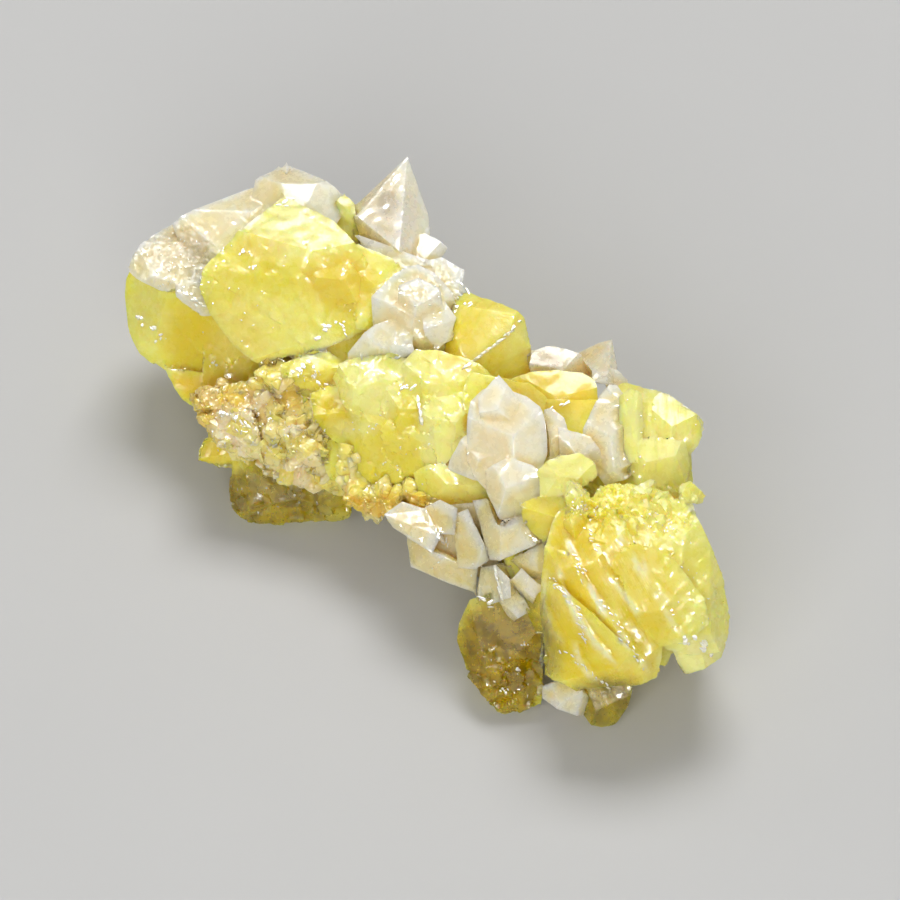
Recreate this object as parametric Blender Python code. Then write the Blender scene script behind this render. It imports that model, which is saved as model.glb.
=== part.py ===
"""Native sulfur with calcite: a hand specimen of intergrown crystals, about 50 mm long.

Every crystal is a convex solid bounded by flat faces. A face that belongs to the show side is
written on a drawing sheet that leans back from the ground: across and down in drawing units,
and a height in millimetres out of the sheet, with the face's rise to the right and its rise up
the sheet. The hidden side is built from crystal habits placed in the specimen's own frame.
Crystals of one mineral that have grown together are fused into one solid.
"""

import math
import random

import bmesh
import bpy
import numpy as np
from mathutils import Matrix, Vector

# Driving dimensions, in millimetres and degrees
UNIT = 0.065            # one drawing unit
SHEET_MID = 450.0       # the sheet's middle, across and down
SHEET_TURN = 40.0       # how far the show side is turned from the specimen's front
SHEET_TILT = 52.0       # how high the show side looks up
GROUND = -9.5           # height of the resting plane, from the sheet's middle
GAP = 0.22              # clearance between two minerals
TAPER = 0.30            # how fast a crystal narrows behind its show face
CLEAR = 1.8             # how far the underside stays above the ground between the feet
SEED = 11

SULFUR = (0.80, 0.70, 0.10)
CALCITE = (0.86, 0.80, 0.68)
CRUST = (0.74, 0.62, 0.30)


# ---------------------------------------------------------------- frame and helpers

def sheet_axes():
    """The sheet's right, up and outward directions in the specimen's frame."""
    turn = math.radians(SHEET_TURN)
    tilt = math.radians(SHEET_TILT)
    right = Vector((math.cos(turn), math.sin(turn), 0))
    up = Vector((-math.sin(turn) * math.sin(tilt), math.cos(turn) * math.sin(tilt), math.cos(tilt)))
    return right, up, right.cross(up)


RIGHT, UP, OUT = sheet_axes()


def on_sheet(across, down, height):
    """A point of the sheet as a point of the specimen's frame, in millimetres."""
    x = (across - SHEET_MID) * UNIT
    y = (SHEET_MID - down) * UNIT
    return RIGHT * x + UP * y + OUT * height - Vector((0, 0, GROUND))


def face(across, down, height, rise_right, rise_up):
    """A face of the show side as (normal, distance)."""
    normal = (OUT - RIGHT * rise_right - UP * rise_up).normalized()
    return normal, normal.dot(on_sheet(across, down, height))


def height_at(faces, across, down):
    """How far out of the sheet the show faces reach at one place."""
    base = on_sheet(across, down, 0)
    return min((d - n.dot(base)) / n.dot(OUT) for n, d in faces)


def crystal(outline, fronts, back, taper=TAPER, floor=CLEAR):
    """A crystal with a drawn outline, its show faces, a back, and an underside above the ground."""
    fronts = [face(*f) for f in fronts]
    planes = list(fronts)
    swing = sum(across + 2 * down for across, down in outline)
    under = Vector((0.25 * math.sin(swing), 0.25 * math.cos(swing), -1)).normalized()
    root = on_sheet(outline[0][0], outline[0][1], back)
    planes.append((under, under.dot(Vector((root.x, root.y, floor)))))
    ring = convex(outline)
    for (u0, v0), (u1, v1) in zip(ring, ring[1:] + ring[:1]):
        mid = height_at(fronts, (u0 + u1) / 2, (v0 + v1) / 2)
        start, end = on_sheet(u0, v0, mid), on_sheet(u1, v1, mid)
        side = (end - start).normalized().cross(OUT)
        normal = (side - OUT * taper).normalized()
        planes.append((normal, normal.dot(start)))
    planes.append((-OUT, -OUT.dot(on_sheet(SHEET_MID, SHEET_MID, back))))
    return planes


def convex(outline):
    """The outline without its hollows, anticlockwise as the sheet is seen."""
    points = sorted(outline)

    def chain(ordered):
        kept = []
        for point in ordered:
            while len(kept) > 1 and turn_of(kept[-2], kept[-1], point) <= 0:
                kept.pop()
            kept.append(point)
        return kept[:-1]

    return chain(points) + chain(points[::-1])


def turn_of(first, second, third):
    """Above zero where three points of the sheet turn left as they are seen."""
    across = (second[0] - first[0], third[0] - second[0])
    down = (second[1] - first[1], third[1] - second[1])
    return down[0] * across[1] - across[0] * down[1]


def splinter(*corners):
    """A crystal given by its corners, each across, down and out of the sheet."""
    bm = bmesh.new()
    for corner in corners:
        bm.verts.new(on_sheet(*corner))
    bmesh.ops.convex_hull(bm, input=bm.verts)
    bmesh.ops.dissolve_limit(bm, angle_limit=math.radians(1), verts=bm.verts, edges=bm.edges)
    middle = sum((v.co for v in bm.verts), Vector()) / len(bm.verts)
    planes = []
    for f in bm.faces:
        normal = f.normal.copy()
        distance = normal.dot(f.calc_center_median())
        if normal.dot(middle) > distance:
            normal, distance = -normal, -distance
        planes.append((normal, distance))
    bm.free()
    return planes


def placed(directions, centre, turn):
    """Faces given as (direction, distance), turned and moved to a centre."""
    planes = []
    for direction, distance in directions:
        normal = turn @ Vector(direction).normalized()
        planes.append((normal, normal.dot(centre) + distance))
    return planes


def any_turn(rng):
    axis = Vector((rng.uniform(-1, 1), rng.uniform(-1, 1), rng.uniform(-1, 1)))
    return Matrix.Rotation(rng.uniform(0, 6.28), 3, axis.normalized())


def sulfur_habit(centre, size, turn, rng):
    """Orthorhombic sulfur: steep and flat bipyramids with a basal face."""
    faces = []
    for sx in (-1, 1):
        for sy in (-1, 1):
            for sz in (-1, 1):
                faces.append(((1.23 * sx, sy, 0.53 * sz), size * rng.uniform(0.8, 1.05)))
                faces.append(((1.23 * sx, sy, 1.58 * sz), size * rng.uniform(0.88, 1.1)))
    for sz in (-1, 1):
        faces.append(((0, 0, sz), size * rng.uniform(0.75, 1.1)))
        faces.append(((0, 1, 0.53 * sz), size * rng.uniform(0.85, 1.1)))
    return placed(faces, centre, turn)


def calcite_habit(centre, length, width, turn):
    """A dogtooth of calcite: six leaning pairs of faces about a long axis."""
    faces = []
    lean = math.atan2(width, length)
    for half in (-1, 1):
        for third in range(3):
            for side in (-1, 1):
                bearing = math.radians(third * 120 + side * 19 + (60 if half < 0 else 0))
                direction = (math.cos(bearing), math.sin(bearing), half * math.tan(lean))
                faces.append((direction, width * math.cos(lean)))
    return placed(faces, centre, turn)


def pointing(direction, roll):
    """The turn that takes the upright axis to a direction."""
    track = Vector(direction).normalized().to_track_quat("Z", "X").to_matrix()
    return track @ Matrix.Rotation(math.radians(roll), 3, "Z")


def chip(centre, size, rng, sides=9, flat=1.0):
    """A small crystal with faces in scattered directions."""
    planes = []
    for _ in range(sides):
        direction = Vector((rng.gauss(0, 1), rng.gauss(0, 1), rng.gauss(0, 1)))
        planes.append((direction, size * rng.uniform(0.7, 1.15)))
    for axis in (RIGHT, -RIGHT, UP, -UP, -OUT):
        planes.append((axis + Vector((0.1, 0.2, 0.1)), size * rng.uniform(0.9, 1.2)))
    planes.append((OUT, size * flat))
    return placed(planes, centre, any_turn(rng))


# ---------------------------------------------------------------- solids from planes

def corners_of(planes, grow):
    """Every corner of the convex solid that the planes bound."""
    normals = np.array([tuple(n) for n, _ in planes])
    reach = np.array([d for _, d in planes]) + grow
    count = len(planes)
    i, j, k = (part.ravel() for part in np.meshgrid(*[np.arange(count)] * 3, indexing="ij"))
    keep = (i < j) & (j < k)
    trio = np.stack([i[keep], j[keep], k[keep]], axis=1)
    system = normals[trio]
    solvable = np.abs(np.linalg.det(system)) > 1e-4
    trio, system = trio[solvable], system[solvable]
    points = np.linalg.solve(system, reach[trio][..., None])[..., 0]
    inside = (points @ normals.T <= reach + 1e-4).all(axis=1)
    return points[inside]


def solid(name, planes, grow=0.0):
    """A mesh object of one crystal, in metres."""
    bm = bmesh.new()
    found = []
    for point in corners_of(planes, grow):
        if all((Vector(point) - other).length > 0.02 for other in found):
            found.append(Vector(point))
    for point in found:
        bm.verts.new(point / 1000)
    bmesh.ops.convex_hull(bm, input=bm.verts)
    loose = [v for v in bm.verts if not v.link_faces]
    bmesh.ops.delete(bm, geom=loose, context="VERTS")
    bmesh.ops.dissolve_limit(bm, angle_limit=math.radians(0.5), verts=bm.verts, edges=bm.edges)
    bmesh.ops.recalc_face_normals(bm, faces=bm.faces)
    mesh = bpy.data.meshes.new(name)
    bm.to_mesh(mesh)
    bm.free()
    obj = bpy.data.objects.new(name, mesh)
    bpy.context.scene.collection.objects.link(obj)
    return obj


def boolean(obj, other, operation):
    """Joins or cuts an object with another, which is used up."""
    step = obj.modifiers.new("step", "BOOLEAN")
    step.operation = operation
    step.solver = "EXACT"
    step.object = other
    graph = bpy.context.evaluated_depsgraph_get()
    mesh = bpy.data.meshes.new_from_object(obj.evaluated_get(graph))
    old = obj.data
    obj.modifiers.clear()
    obj.data = mesh
    bpy.data.meshes.remove(old)
    used = other.data
    bpy.data.objects.remove(other)
    bpy.data.meshes.remove(used)


def box_of(obj):
    points = np.array([tuple(v.co) for v in obj.data.vertices])
    return points.min(axis=0), points.max(axis=0)


def near(obj, other):
    low, high = box_of(obj)
    low2, high2 = box_of(other)
    return bool((low2 < high).all() and (low < high2).all())


def fused(name, crystals):
    """One solid of several crystals that have grown into each other."""
    obj = solid(name, crystals[0])
    for planes in crystals[1:]:
        boolean(obj, solid("joined", planes), "UNION")
    return obj


def clear_of(obj, crystals):
    """Cuts an object back from its neighbours, with the clearance between minerals."""
    for planes in crystals:
        cutter = solid("cutter", planes, GAP)
        if near(obj, cutter):
            boolean(obj, cutter, "DIFFERENCE")
        else:
            used = cutter.data
            bpy.data.objects.remove(cutter)
            bpy.data.meshes.remove(used)


def largest_body(obj):
    """Keeps the largest connected body and drops crumbs that a cut left over."""
    bm = bmesh.new()
    bm.from_mesh(obj.data)
    left = set(bm.faces)
    bodies = []
    while left:
        seed = left.pop()
        body, edge = {seed}, [seed]
        while edge:
            for e in edge.pop().edges:
                for f in e.link_faces:
                    if f in left:
                        left.discard(f)
                        body.add(f)
                        edge.append(f)
        bodies.append(body)
    bodies.sort(key=lambda body: sum(f.calc_area() for f in body))
    crumbs = [f for body in bodies[:-1] for f in body]
    bmesh.ops.delete(bm, geom=crumbs, context="FACES")
    bm.to_mesh(obj.data)
    bm.free()


def rest_on_ground(obj):
    """Trims what reaches below the resting plane, which leaves the flat feet."""
    block = solid("ground", placed([((0, 0, 1), 0), ((0, 0, -1), 20), ((1, 0, 0), 80), ((-1, 0, 0), 80),
                                    ((0, 1, 0), 80), ((0, -1, 0), 80)], Vector(), Matrix.Identity(3)))
    boolean(obj, block, "DIFFERENCE")


def tidy(obj):
    """Drops slivers that the joins leave, and merges flat neighbours."""
    bm = bmesh.new()
    bm.from_mesh(obj.data)
    bmesh.ops.remove_doubles(bm, verts=bm.verts, dist=2e-5)
    bmesh.ops.dissolve_degenerate(bm, edges=bm.edges, dist=1e-6)
    bmesh.ops.dissolve_limit(bm, angle_limit=math.radians(0.3), verts=bm.verts, edges=bm.edges)
    bmesh.ops.triangulate(bm, faces=bm.faces)
    bm.to_mesh(obj.data)
    bm.free()
    obj.data.update()


def painted(obj, name, colour, rough):
    """Gives an object its own plain material."""
    material = bpy.data.materials.new(name)
    material.use_nodes = True
    shader = material.node_tree.nodes["Principled BSDF"]
    shader.inputs["Base Color"].default_value = (*colour, 1)
    shader.inputs["Roughness"].default_value = rough
    shader.inputs["Metallic"].default_value = 0
    material.diffuse_color = (*colour, 1)
    obj.data.materials.clear()
    obj.data.materials.append(material)


# ---------------------------------------------------------------- sulfur

def sulfur_left():
    """The large block and the lead crystal at the left end."""
    block = crystal(
        [(121, 290), (122, 275), (128, 262), (150, 248), (190, 240), (250, 290), (275, 366), (240, 384),
         (215, 386), (190, 385), (175, 379), (162, 365), (155, 361), (137, 355), (128, 337), (124, 325)],
        [(163, 300, -6.3, 0.75, 0.10), (163, 300, -6.3, 0.08, 0.30), (200, 372, -7.2, 0.1, 1.3),
         (160, 286, -6.4, 0.05, -0.8), (136, 342, -7.9, 0.7, 0.6)], -13, 0.18)
    lead = crystal(
        [(285, 186), (300, 196), (320, 214), (350, 236), (374, 270), (380, 300), (374, 322), (345, 342),
         (312, 353), (285, 360), (266, 367), (258, 366), (232, 347), (212, 318), (201, 295), (200, 284),
         (205, 262), (240, 232), (262, 203)],
        [(300, 246, -2.4, 0.08, -0.80), (262, 250, -2.8, 0.30, 0.10), (300, 290, -2.35, -0.10, 0.12),
         (250, 320, -3.0, 0.28, -0.06), (300, 342, -2.5, 0.05, 0.95), (222, 322, -3.8, 0.75, 0.55),
         (368, 290, -2.9, -0.8, 0.1)], -10)
    shoulder = crystal(
        [(316, 262), (334, 256), (350, 262), (362, 280), (360, 300), (344, 308), (322, 302), (312, 284)],
        [(338, 276, -2.15, 0.05, -0.26), (338, 284, -2.2, 0.10, 0.30), (352, 284, -2.3, -0.5, 0.0)], -6)
    sliver = crystal(
        [(338, 194), (344, 190), (355, 203), (358, 240), (350, 262), (330, 262), (332, 208)],
        [(346, 204, -6.6, -0.2, -0.5), (342, 212, -6.6, 0.3, 0.1)], -15, 0.12)
    link = crystal(
        [(352, 240), (372, 250), (396, 262), (408, 280), (400, 296), (384, 312), (374, 330), (356, 330),
         (350, 280)],
        [(384, 275, -2.4, 0.05, -0.40), (380, 300, -2.2, -0.10, 0.15), (366, 290, -2.4, 0.4, 0.0)], -7)
    return [block, lead, shoulder, sliver, link]


def sulfur_middle():
    """The prism at the waist and the bright crystals below it."""
    prism = crystal(
        [(450, 308), (456, 292), (476, 287), (503, 303), (522, 316), (526, 331), (532, 349), (534, 368),
         (520, 384), (492, 388), (466, 380), (446, 362), (442, 340)],
        [(495, 343, -0.2, 0.29, -0.22), (495, 341, -0.2, -0.33, 0.51), (456, 335, -1.0, 0.9, 0.0),
         (522, 340, -0.7, -0.9, 0.0), (490, 300, -1.5, 0.1, -1.1)], -8)
    slope = crystal(
        [(340, 368), (360, 360), (396, 352), (414, 358), (440, 368), (470, 384), (478, 402), (476, 440),
         (470, 476), (468, 500), (430, 504), (392, 506), (362, 498), (344, 478), (336, 440)],
        [(400, 400, -0.1, 0.30, -0.10), (351, 416, -0.95, 0.45, 0.35), (356, 450, -1.75, 0.90, 0.25),
         (400, 484, -1.3, 0.10, 1.10)], -7)
    ledge = crystal(
        [(400, 366), (414, 348), (446, 352), (478, 366), (500, 384), (494, 402), (462, 408), (430, 408),
         (408, 396)],
        [(440, 376, 0.80, 0.12, -0.42), (446, 392, 0.95, 0.06, 0.18), (412, 384, 0.35, 0.6, 0.1),
         (480, 385, 0.85, -0.35, -0.1)], -6)
    pale = crystal(
        [(328, 378), (340, 362), (362, 355), (392, 354), (406, 368), (408, 396), (396, 412), (368, 424),
         (346, 410)],
        [(366, 380, -0.42, 0.12, -0.30), (372, 394, -0.40, 0.06, 0.14), (346, 388, -0.75, 0.80, 0.15),
         (396, 396, -0.15, -0.45, 0.10), (368, 414, -0.75, 0.10, 0.60)], -6)
    lower = crystal(
        [(382, 392), (404, 378), (426, 390), (428, 420), (424, 446), (404, 440), (384, 424)],
        [(406, 402, 0.35, 0.22, -0.28), (408, 418, 0.38, 0.22, 0.22), (392, 415, -0.02, 0.8, 0.1)], -6)
    bright = crystal(
        [(420, 410), (434, 398), (462, 394), (474, 406), (472, 430), (458, 452), (444, 468), (430, 476),
         (420, 456), (417, 430)],
        [(446, 412, 1.30, 0.14, -0.34), (448, 428, 1.45, 0.22, 0.16), (430, 430, 1.02, 0.7, 0.2),
         (460, 425, 1.5, -0.35, 0.2), (436, 460, 0.95, 0.3, 0.75)], -5)
    sill = crystal(
        [(414, 470), (440, 462), (468, 470), (488, 482), (502, 502), (500, 522), (482, 512), (450, 506),
         (420, 500)],
        [(456, 478, 1.55, 0.22, -0.30), (464, 490, 1.65, 0.24, 0.45), (430, 486, 0.7, 0.75, 0.2)], -4)
    fill_a = crystal(
        [(278, 364), (300, 352), (330, 350), (346, 362), (344, 384), (322, 396), (296, 390), (280, 380)],
        [(310, 366, -2.6, 0.10, -0.30), (312, 378, -2.6, -0.05, 0.40)], -7)
    fill_b = crystal(
        [(306, 392), (330, 380), (352, 392), (362, 420), (352, 446), (330, 440), (310, 420)],
        [(335, 404, -1.9, 0.12, -0.25), (335, 418, -1.9, 0.05, 0.45)], -7)
    fill_c = crystal(
        [(468, 372), (500, 380), (530, 384), (548, 400), (540, 440), (500, 470), (470, 440), (462, 400)],
        [(505, 410, 2.6, -0.05, -0.35), (505, 430, 2.7, 0.0, 0.2)], -3)
    return [prism, slope, ledge, pale, lower, bright, sill, fill_a, fill_b, fill_c]


def sulfur_right():
    """The striated block, the small pale crystal and the honey-coloured piece beside it."""
    honey = crystal(
        [(512, 378), (530, 374), (560, 372), (584, 374), (596, 382), (598, 400), (586, 424), (572, 448),
         (560, 452), (545, 428), (538, 406), (515, 396)],
        [(555, 388, 1.7, 0.05, -0.60), (565, 405, 1.9, -0.15, 0.20), (540, 395, 1.6, 0.45, 0.1)], -3)
    block = crystal(
        [(608, 396), (616, 385), (628, 381), (650, 388), (672, 394), (684, 408), (690, 440), (692, 470),
         (694, 488), (691, 503), (665, 520), (628, 512), (608, 480), (604, 430)],
        [(650, 430, 3.7, 0.02, -0.22), (650, 402, 3.3, 0.0, -1.0), (678, 450, 3.5, -0.75, 0.0),
         (622, 440, 3.5, 0.7, 0.0), (650, 480, 3.9, -0.1, 0.25)], -4)
    lobe = crystal(
        [(650, 398), (660, 391), (674, 394), (682, 402), (697, 415), (704, 421), (705, 430), (698, 446),
         (688, 458), (665, 450), (650, 424)],
        [(680, 414, 4.0, 0.06, -0.55), (684, 430, 4.1, -0.30, 0.20), (660, 425, 4.0, 0.6, 0.1)], -1)
    shelf = crystal(
        [(624, 446), (650, 434), (684, 440), (691, 466), (684, 494), (640, 490), (622, 468)],
        [(655, 450, 4.7, 0.03, -0.40), (660, 466, 4.8, -0.12, 0.30), (634, 466, 4.5, 0.7, 0.1),
         (684, 466, 4.3, -1.0, 0.0)], -2)
    rib = crystal(
        [(618, 396), (630, 388), (642, 392), (644, 430), (640, 462), (628, 466), (618, 440)],
        [(632, 420, 4.5, 0.0, -0.16), (636, 430, 4.5, -0.5, -0.1), (624, 430, 4.3, 0.7, 0.0)], -4)
    lemon = crystal(
        [(537, 468), (548, 461), (578, 453), (591, 460), (598, 472), (592, 482), (575, 497), (538, 498)],
        [(565, 470, 6.6, -0.03, -0.40), (562, 482, 6.7, 0.05, 0.30), (586, 474, 6.5, -0.60, 0.2),
         (545, 478, 6.4, 0.5, 0.0)], 1)
    under = crystal(
        [(518, 502), (536, 495), (562, 494), (574, 508), (560, 530), (546, 548), (532, 532), (520, 520)],
        [(545, 505, 6.0, 0.05, -0.20), (540, 515, 6.0, 0.25, 0.50)], 0)
    return [honey, block, lobe, shelf, rib, lemon, under]


def sulfur_end():
    """The great broken crystal at the right end, and its tip."""
    front = crystal(
        [(543, 548), (548, 525), (558, 506), (590, 497), (618, 512), (645, 560), (660, 620), (662, 650),
         (656, 676), (640, 682), (600, 689), (575, 690), (562, 684), (541, 673), (541, 650), (546, 636),
         (543, 600), (540, 575)],
        [(603, 590, 9.5, 0.26, 0.27), (603, 590, 9.5, -0.19, 0.04), (552, 600, 8.4, 1.1, 0.1),
         (575, 540, 8.7, 0.35, -0.45), (600, 672, 8.3, 0.05, 0.95), (648, 650, 8.9, -0.7, 0.6)], -1, 0.2)
    plate = crystal(
        [(542, 600), (549, 577), (565, 590), (582, 612), (604, 642), (640, 664), (656, 674), (640, 682),
         (600, 689), (575, 690), (562, 684), (541, 673), (542, 640)],
        [(580, 640, 9.05, 0.22, 0.30), (552, 640, 8.5, 1.0, 0.2), (600, 674, 8.5, 0.05, 1.0),
         (620, 668, 8.9, -0.4, 0.7)],
        2)
    streak = crystal(
        [(556, 548), (566, 552), (586, 578), (598, 600), (590, 608), (574, 590), (558, 566)],
        [(574, 574, 9.15, 0.42, 0.10), (578, 572, 9.2, -0.10, 0.55)], 4)
    upper = crystal(
        [(585, 500), (602, 484), (630, 482), (655, 486), (690, 506), (703, 533), (713, 548), (718, 575),
         (724, 590), (729, 608), (727, 640), (716, 652), (676, 654), (655, 644), (630, 600), (600, 548)],
        [(640, 522, 8.7, 0.06, -0.42), (655, 560, 9.3, -0.12, 0.05), (692, 580, 8.6, -0.45, 0.10),
         (716, 600, 7.4, -1.2, 0.1), (675, 630, 8.3, -0.20, 0.60), (606, 530, 8.8, 0.55, -0.3)], -3, 0.2)
    swell = crystal(
        [(612, 556), (632, 540), (668, 552), (700, 590), (708, 622), (686, 640), (656, 646), (634, 622)],
        [(650, 575, 9.5, -0.06, -0.04), (672, 604, 9.35, -0.32, 0.16), (650, 620, 9.4, -0.10, 0.30)], 3)
    tip = crystal(
        [(668, 640), (676, 622), (700, 612), (726, 618), (727, 640), (722, 655), (719, 660), (708, 664),
         (698, 670), (685, 678), (680, 674), (672, 662)],
        [(698, 636, 7.0, -0.10, -0.1), (692, 655, 6.6, 0.25, 0.75), (714, 645, 6.4, -0.75, 0.5)], -3)
    stub = crystal(
        [(648, 640), (668, 636), (672, 650), (668, 664), (663, 668), (656, 664), (650, 655)],
        [(660, 650, 6.2, -0.3, 0.3), (655, 655, 6.2, 0.5, 0.4)], 0)
    grains = []
    rng = random.Random(SEED + 1)
    for _ in range(18):
        across = rng.uniform(568, 700)
        down = rng.uniform(492, 540)
        if across > 690 - (down - 492) * 0.2:
            continue
        height = 8.75 - 0.42 * (522 - down) * UNIT + 0.06 * (across - 640) * UNIT
        grains.append(chip(on_sheet(across, down, height - 0.45), rng.uniform(0.5, 0.85), rng))
    return [front, plate, streak, upper, swell, tip, stub] + grains


def sulfur_feet():
    """The darker crystals in the lee of the overhangs, on which the specimen stands."""
    olive = crystal(
        [(456, 640), (457, 628), (460, 615), (472, 597), (500, 590), (545, 594), (548, 640), (541, 672),
         (543, 702), (530, 708), (520, 712), (503, 720), (499, 716), (485, 699), (468, 679), (461, 655)],
        [(495, 625, 3.6, 0.15, 0.05), (475, 650, 3.1, 0.80, 0.20), (515, 665, 3.5, -0.20, 0.35),
         (500, 700, 2.6, 0.2, 1.0)],
        -7, floor=-1)
    heel = crystal(
        [(572, 640), (600, 620), (630, 640), (634, 684), (632, 698), (628, 708), (620, 720), (612, 725),
         (600, 727), (590, 724), (584, 716), (574, 700)],
        [(600, 695, 3.6, -0.10, 0.10), (588, 705, 3.4, 0.60, 0.4), (612, 712, 3.0, -0.40, 0.8)], -6,
        0.12, floor=-1)
    left = crystal(
        [(228, 478), (232, 440), (270, 410), (320, 420), (348, 470), (353, 500), (352, 515), (345, 519),
         (335, 521), (290, 522), (280, 524), (265, 525), (250, 523), (240, 519), (229, 505), (225, 497)],
        [(262, 490, -5.8, 0.10, 0.12), (310, 495, -5.6, -0.10, 0.35), (238, 495, -6.4, 0.80, 0.2),
         (290, 512, -6.4, 0.0, 1.0), (280, 470, -5.8, 0.0, -0.2)],
        -16, floor=-1)
    toe = crystal(
        [(204, 428), (222, 400), (270, 400), (280, 450), (260, 490), (236, 500), (225, 497), (214, 490),
         (212, 476), (206, 464), (203, 445)],
        [(222, 455, -7.0, 0.3, 0.1), (230, 475, -6.8, -0.2, 0.5), (205, 455, -7.4, 0.9, 0.3)], -14, 0.1)
    brow = crystal(
        [(158, 360), (166, 380), (190, 376), (236, 380), (262, 396), (256, 424), (232, 424), (205, 418),
         (182, 402)],
        [(212, 392, -6.6, 0.15, -0.1), (215, 402, -6.6, 0.15, 0.5)], -13)
    spur = crystal(
        [(194, 463), (193, 450), (200, 436), (226, 430), (236, 452), (222, 468)],
        [(214, 448, -6.8, 0.2, 0.0), (212, 456, -6.8, 0.1, 0.5)], -12, 0.1)
    return [olive, heel, left, toe, brow, spur]


def sulfur_hidden(rng):
    """The body inside, and the crystals of the hidden side."""
    body = [
        crystal([(200, 290), (250, 230), (330, 220), (380, 300), (340, 400), (300, 470), (240, 470), (200, 400)],
                [(280, 330, -7.0, 0.0, -0.1)], -17, 0.25),
        crystal([(300, 240), (400, 270), (480, 300), (500, 400), (470, 480), (400, 496), (330, 480), (290, 380)],
                [(400, 380, -3.6, -0.05, -0.1)], -15, 0.25),
        crystal([(420, 300), (520, 340), (600, 400), (640, 480), (600, 560), (520, 590), (450, 500), (410, 400)],
                [(520, 450, -0.2, -0.1, -0.35)], -12, 0.25),
        crystal([(540, 400), (640, 400), (690, 480), (710, 590), (690, 640), (600, 660), (540, 640), (500, 560)],
                [(610, 540, 4.0, 0.0, -0.2)], -8, 0.25),
        crystal([(474, 600), (560, 560), (640, 600), (650, 660), (625, 690), (560, 696), (500, 690), (472, 650)],
                [(560, 640, 2.0, 0.0, 0.2)], -6, 0.2),
    ]
    places = [(-17, 3, 6.0, 4.2), (-12, 7, 6.2, 4.2), (-5, 7, 6.5, 4.4), (1, 7, 6.2, 4.2), (7, 6.5, 6.0, 3.8),
              (12, 5.5, 5.6, 3.4), (15, 2, 5.6, 3.6), (-9, 3, 4.6, 4.2), (4, 1, 4.8, 4.0)]
    feet = [(-14, 6.5, 2.6, 2.6), (11, 4, 3.0, 3.0), (-2, 7, 2.8, 2.6)]
    back = []
    for x, y, z, size in places + feet:
        back.append(sulfur_habit(Vector((x, y, z)), size, any_turn(rng), rng))
    return body + back


# ---------------------------------------------------------------- calcite

def calcite_ridge():
    """The glassy cap and the cream ridge behind the lead crystal."""
    cap = crystal(
        [(124, 266), (127, 257), (132, 248), (140, 240), (148, 233), (160, 223), (178, 213), (196, 218),
         (214, 240), (217, 254), (207, 272), (198, 281), (182, 276), (168, 280), (164, 293), (142, 283),
         (127, 274)],
        [(165, 280, -5.2, 0.10, -0.42), (142, 262, -5.9, 0.60, -0.15), (195, 262, -5.1, -0.35, -0.35),
         (160, 232, -7.0, 0.1, -1.3), (150, 284, -5.7, 0.35, 0.5)], -10)
    rim = crystal(
        [(172, 284), (182, 277), (198, 280), (208, 298), (212, 318), (200, 316), (186, 306), (174, 296)],
        [(190, 292, -4.7, 0.10, -0.30), (192, 302, -4.7, 0.3, 0.35)], -9)
    left = crystal(
        [(168, 222), (180, 213), (200, 203), (210, 199), (230, 190), (250, 179), (264, 173), (272, 200),
         (262, 230), (240, 250), (215, 262), (200, 262), (180, 250)],
        [(225, 222, -5.6, 0.12, -0.45), (205, 245, -5.3, 0.50, 0.0), (240, 196, -6.8, 0.10, -1.1),
         (250, 225, -5.6, -0.45, -0.2)], -11)
    right = crystal(
        [(250, 180), (262, 174), (271, 168), (275, 162), (285, 159), (297, 162), (310, 167), (320, 174),
         (330, 180), (344, 189), (347, 204), (340, 222), (320, 250), (300, 262), (262, 250), (246, 215)],
        [(295, 195, -5.8, 0.03, -0.55), (270, 195, -6.2, 0.45, -0.45), (325, 205, -6.0, -0.45, -0.35),
         (290, 168, -7.8, 0.0, -1.8)], -11)
    peak = splinter((285, 158.5, -8.3), (278, 166, -7.9), (290, 166, -7.8), (285, 172, -7.0), (285, 168, -9.5))
    spur = splinter((277, 161.5, -8.6), (266, 172, -8.2), (283, 168, -7.8), (275, 180, -6.6), (276, 172, -10))
    behind = calcite_habit(on_sheet(300, 232, -13.0), 4.8, 2.6, pointing((-0.5, 0.85, -0.1), 20))
    beside = calcite_habit(on_sheet(222, 262, -12.0), 4.4, 2.4, pointing((-0.8, 0.6, -0.1), 50))
    return [left, cap, rim, right, peak, spur, behind, beside]


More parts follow.
